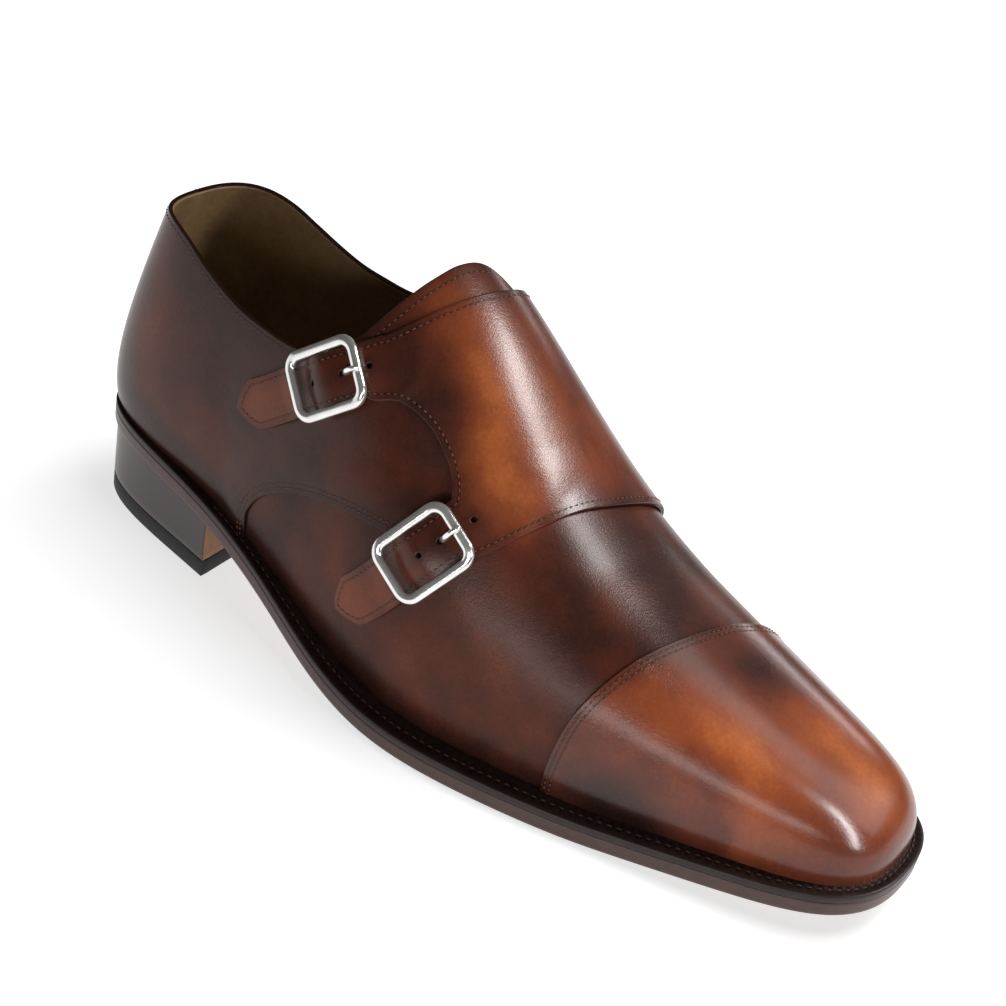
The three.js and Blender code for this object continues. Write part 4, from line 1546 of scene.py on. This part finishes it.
sole_ts = np.arange(SOLE_STEPS) / SOLE_STEPS
outer_edge = sole_edge(sole_ts, np.zeros(SOLE_STEPS))
arc = lengths_along(outer_edge)
print("the welt is", round(float(arc[-1])), "mm long")

# %% Welt
WELT_PITCH = 2.8
WELT_RIM = 0.9
WHEEL_DEPTH = 0.16
STITCH_LINE = 0.42  # share of the margin at which the welt's stitches run
WELT_STITCH = dict(half_length=1.3, radius=0.42, lift=0.05)
# Each row: share of the margin past the rim, inset at the rim, height, share of the wheel's marks.
WELT_ROWS = [[0, 0.12, -0.25, 0], [0, 0.03, -0.12, 0], [0, 0.0, 1.6, 0], [0, 0.08, 2.0, 0],
             [0, 0.3, 2.25, 0], [0, 0.9, 2.3, 0], [0.16, 0.9, 2.28, 0.2], [0.28, 0.9, 2.1, 1],
             [0.42, 0.9, 2.02, 1], [0.56, 0.9, 2.1, 1], [0.68, 0.9, 2.28, 0.2],
             [0.9, 0.9, 2.3, 0], [1.25, 0.9, 2.3, 0]]


def welt():
    margin = around("edge", sole_ts) - WELT_RIM
    stitched = smooth_step(outer_edge[:, 0], HEEL_BREAST - 4, HEEL_BREAST + 4)
    wheel = np.cos(2 * math.pi * arc / WELT_PITCH)
    rows = []
    for share, inset, height, marks in WELT_ROWS:
        plan = sole_edge(sole_ts, share * margin + inset)
        groove = (WELT - height) * np.where(share > 0, stitched, 1.0)
        top = WELT - groove + marks * WHEEL_DEPTH * wheel * stitched
        rows.append((plan, seat(plan[:, 0]) + top))
    points, faces = swept(rows)
    add_mesh("welt", points, faces, WELT_LEATHER, ["welt"])


def welt_stitches():
    count = int(arc[-1] / WELT_PITCH)
    centre = (np.arange(count) + 0.5) * WELT_PITCH
    t = np.interp(centre, arc, sole_ts)
    margin = around("edge", t) - WELT_RIM
    inset = STITCH_LINE * margin + WELT_RIM
    plan = sole_edge(t, inset)
    ahead = sole_edge(t + 1e-3, inset) - plan
    place = np.concatenate([plan, (seat(plan[:, 0]) + WELT - WHEEL_DEPTH)[:, None]], 1)
    rise = seat(plan[:, 0] + ahead[:, 0]) - seat(plan[:, 0])
    ahead = unit(np.concatenate([ahead, rise[:, None]], 1))
    up = unit(np.array([0, 0, 1.0]) - ahead * ahead[:, 2:3])
    spots = np.concatenate([place, ahead, up], 1)[plan[:, 0] > HEEL_BREAST]
    points, faces = stitch_mesh(spots, **WELT_STITCH)
    add_mesh("welt_stitches", points, faces, WELT_THREAD)


welt()
welt_stitches()

# %% Outsole
# Each row: inset from the sole's edge and height above the underside.
OUTSOLE_ROWS = [[6.0, 0.0], [1.3, 0.0], [0.55, 0.12], [0.15, 0.55], [0.0, 1.3], [0.08, 2.6],
                [0.0, 3.9], [0.0, 4.75], [0.12, 4.9], [1.4, 4.9]]


def closing_faces(start, count, facing_up):
    """Faces across a ring, from each point to the one that mirrors it."""
    faces = []
    for i in range(count // 2):
        a, b = start + i, start + i + 1
        c, d = start + (count - i - 1) % count, start + (count - i) % count
        corners = [a, b, c, d]
        corners = [k for n, k in enumerate(corners) if k not in corners[:n]]
        faces.append(corners if facing_up else corners[::-1])
    return [face for face in faces if len(face) > 2]


def outsole():
    rows = []
    for inset, height in OUTSOLE_ROWS:
        plan = sole_edge(sole_ts, np.full(SOLE_STEPS, float(inset)))
        rows.append((plan, underside(plan[:, 0]) + height))
    points, faces = swept(rows)
    bottom = closing_faces(0, SOLE_STEPS, False)
    piece = add_mesh("outsole", points, faces + bottom, SOLE_EDGE, ["outsole"])
    piece.data.materials.append(SOLE_UNDER)
    for polygon in piece.data.polygons[len(faces):]:
        polygon.material_index = 1


outsole()

# %% [markdown]
# ## Heel
# A heel is a stack of leather lifts on a rubber top piece, ground and waxed to one dark surface.
# Its front face, the breast, is left lighter.

# %% Heel
HEEL_INSET = 1.0
TOP_PIECE = 6.0
HEEL_STEPS = 300
BREAST_STEPS = 24
BREAST_HOLLOW = 1.6


def heel_ring(inset):
    """The heel's outline in plan: around the back, then across the breast."""
    t = np.linspace(-0.25, 0.25, 1200)
    plan = sole_edge(t, np.full(len(t), HEEL_INSET + inset))
    breast = HEEL_BREAST - inset
    behind = plan[:, 0] <= breast
    first, last = np.flatnonzero(behind)[[0, -1]]
    t = np.linspace(t[first], t[last], HEEL_STEPS)
    plan = sole_edge(t, np.full(len(t), HEEL_INSET + inset))
    share = np.linspace(0, 1, BREAST_STEPS + 2)[1:-1]
    across = plan[-1] * (1 - share[:, None]) + plan[0] * share[:, None]
    across[:, 0] = breast - BREAST_HOLLOW * np.sin(np.pi * share)
    return np.concatenate([plan, across])


def heel_piece(name, rows, material):
    """rows: inset and height; a height is a number, or a function of x."""
    rings = []
    for inset, height in rows:
        plan = heel_ring(inset)
        z = height(plan[:, 0]) if callable(height) else np.full(len(plan), float(height))
        rings.append((plan, z))
    count = len(rings[0][0])
    points, faces = swept(rings)
    sides = len(faces)
    faces += [list(range(count))[::-1]]
    faces += [list(range((len(rings) - 1) * count, len(rings) * count))]
    piece = add_mesh(name, points, faces, material, [name])
    for polygon in piece.data.polygons[sides:]:
        polygon.use_smooth = False
    return piece, count, sides


STACK_FOOT = TOP_PIECE + GAP
# Each row: inset and height.
STACK_ROWS = [[0.12, STACK_FOOT - 0.2], [0.0, STACK_FOOT + 0.1], [0.0, STACK_FOOT + 2],
              [0.0, STACK_FOOT + 4], [0.0, lambda x: underside(x) - GAP - 0.5],
              [0.0, lambda x: underside(x) - 0.1]]
TOP_PIECE_ROWS = [[0.5, 0.0], [0.15, 0.1], [0.0, 0.5], [0.0, TOP_PIECE - 0.25], [0.2, TOP_PIECE]]
heel_stack, ring_count, side_faces = heel_piece("heel_stack", STACK_ROWS, HEEL_LEATHER)
heel_stack.data.materials.append(SOLE_UNDER)
for polygon in heel_stack.data.polygons[:side_faces]:
    if polygon.index % ring_count >= HEEL_STEPS - 1:
        polygon.material_index = 1
heel_piece("heel_top_piece", TOP_PIECE_ROWS, RUBBER)

# %% [markdown]
# ## Insole
# Inside lies a plain tan insole, slightly dished where the heel rests.

# %% Insole
INSOLE_TOP = 2.7
INSOLE_LEVEL = -0.3  # its rim lies just inside the lining
INSOLE_COLUMNS, INSOLE_ACROSS = 240, 12
DISH = dict(depth=0.9, at=35, reach=30)


def insole():
    t = np.arange(1, INSOLE_COLUMNS) / (2 * INSOLE_COLUMNS)
    outer, inner = on_last(t, 0.0, INSOLE_LEVEL), on_last(1 - t, 0.0, INSOLE_LEVEL)
    share = np.linspace(0, 1, INSOLE_ACROSS + 1)
    rows = outer[:, None] * (1 - share[None, :, None]) + inner[:, None] * share[None, :, None]
    under_heel = np.exp(-(((rows[..., 0] - DISH["at"]) / DISH["reach"]) ** 2))
    dish = DISH["depth"] * np.sin(np.pi * share)[None, :] * under_heel
    rows[..., 2] = seat(rows[..., 0]) + INSOLE_TOP - dish
    faces = grid_faces(len(t), INSOLE_ACROSS + 1)
    add_mesh("insole", rows.reshape(-1, 3), faces, INSOLE_LEATHER, ["insole"])


insole()

# %% [markdown]
# ## Floor, light and camera
# The shoe stands on a plain pale floor. Long narrow lamps draw the calm bands that show polished
# leather best; small round lamps would only dot it. In a studio each lamp is shaded off what it
# should not touch, and light linking does the same here: the toe cap has its own key and
# strips, and the floor its own soft lamp.

# %% Floor
FLOOR_HALF = 3.0
FLOOR_NEAR = 0.30  # how far it reaches towards the camera
FLOOR_TURN = math.radians(30.47)  # its near edge lies square to the camera
FLOOR_GLOW = 0.72  # keeps the shadow light


def floor():
    material, tree, shader = new_material("pale floor")
    tint = ramp(tree, noise(tree, 3.0), [(0.3, (0.49, 0.49, 0.49)), (0.7, (0.51, 0.51, 0.51))])
    tree.links.new(tint, shader.inputs["Base Color"])
    shader.inputs["Roughness"].default_value = 0.8
    shader.inputs["Specular IOR Level"].default_value = 0.1
    shader.inputs["Emission Color"].default_value = (1, 1, 1, 1)
    shader.inputs["Emission Strength"].default_value = FLOOR_GLOW
    mesh = bpy.data.meshes.new("floor")
    h, near = FLOOR_HALF, -FLOOR_NEAR
    mesh.from_pydata([(-h, near, 0), (h, near, 0), (h, h, 0), (-h, h, 0)], [], [(0, 1, 2, 3)])
    mesh.materials.append(material)
    plane = bpy.data.objects.new("floor", mesh)
    plane.rotation_euler.z = FLOOR_TURN
    bpy.context.scene.collection.objects.link(plane)
    return plane


floor_plane = floor()


# %% Lights
# name, place, aim, width, height, tilt, watts, what it lights
KEY_PLACE, SIDE_PLACE = (0.70, 0.49, 0.90), (0.36, -1.20, 0.17)
LAMPS = [
    ["key", KEY_PLACE, (0, 0, 0.05), 0.38, 0.17, 0, 15.0, "rest"],
    ["toe key", KEY_PLACE, (0, 0, 0.05), 1.0, 1.0, 0, 8.0, "toe"],
    ["toe strip", (0.80, -0.22, 0.54), (0.28, -0.013, 0.034), 0.09, 0.86, -6, 13.0, "toe"],
    ["side strip", SIDE_PLACE, (0, 0, 0.04), 1.0, 0.13, 28, 6.0, "rest"],
    ["toe side strip", SIDE_PLACE, (0, 0, 0.04), 1.0, 0.13, 28, 3.2, "toe"],
    ["front fill", (1.1, -0.3, 0.5), (0, 0, 0.05), 0.5, 0.5, 0, 4.0, "rest"],
    ["back strip", (0.10, 1.1, 0.46), (0, 0, 0.05), 0.3, 0.10, 0, 0.9, "all"],
    ["floor lamp", (0.20, 0.34, 0.90), (0, 0, 0), 0.8, 0.8, 0, 13.0, "floor"],
]
WORLD_LIGHT = 0.07


def lit_group(name, state, members):
    """A lamp with this group lights only these pieces, or everything but these pieces."""
    group = bpy.data.collections.new(name)
    for number, member in enumerate(members):
        group.objects.link(member)
        group.collection_objects[number].light_linking.link_state = state
    return group


LIT_GROUPS = {
    "toe": lit_group("lit toe", "INCLUDE", [toe_cap]),
    "floor": lit_group("lit floor", "INCLUDE", [floor_plane]),
    "rest": lit_group("lit rest", "EXCLUDE", [toe_cap, floor_plane]),
}


def lamp(name, place, aim, width, height, tilt, watts, lights):
    light = bpy.data.lights.new(name, "AREA")
    light.shape = "RECTANGLE"
    light.size, light.size_y, light.energy = width, height, watts
    holder = bpy.data.objects.new(name, light)
    holder.location = place
    holder.rotation_mode = "QUATERNION"
    turn = Quaternion((0, 0, 1), math.radians(tilt))
    holder.rotation_quaternion = (Vector(aim) - Vector(place)).to_track_quat("-Z", "Y") @ turn
    bpy.context.scene.collection.objects.link(holder)
    if lights in LIT_GROUPS:
        holder.light_linking.receiver_collection = LIT_GROUPS[lights]


for row in LAMPS:
    lamp(*row)
world = bpy.data.worlds.new("studio")
world.use_nodes = True
background = world.node_tree.nodes["Background"]
background.inputs["Color"].default_value = (1, 1, 1, 1)
background.inputs["Strength"].default_value = WORLD_LIGHT
bpy.context.scene.world = world
bpy.context.scene.view_settings.view_transform = "Standard"
bpy.context.scene.view_settings.look = "None"
print(len(LAMPS), "lamps")

# %% Camera
AZIMUTH, ELEVATION, ROLL = FLOOR_TURN, math.radians(32.97), math.radians(12.34)
TARGET = Vector((-0.01472, 0.0256, 0.04015))
DISTANCE = 0.5398
LENS, SENSOR = 62.2, 36.0


def camera():
    a, e, r = AZIMUTH, ELEVATION, ROLL
    back = Vector((math.sin(a) * math.cos(e), -math.cos(a) * math.cos(e), math.sin(e)))
    right = Vector((math.cos(a), math.sin(a), 0))
    up = back.cross(right)
    rolled_right = right * math.cos(r) + up * math.sin(r)
    rolled_up = up * math.cos(r) - right * math.sin(r)
    data = bpy.data.cameras.new("camera")
    data.lens, data.sensor_width = LENS, SENSOR
    data.clip_start, data.clip_end = 0.01, 50
    holder = bpy.data.objects.new("camera", data)
    turned = Matrix((rolled_right, rolled_up, back)).transposed().to_4x4()
    holder.matrix_world = Matrix.Translation(TARGET + back * DISTANCE) @ turned
    bpy.context.scene.collection.objects.link(holder)
    bpy.context.scene.camera = holder


camera()
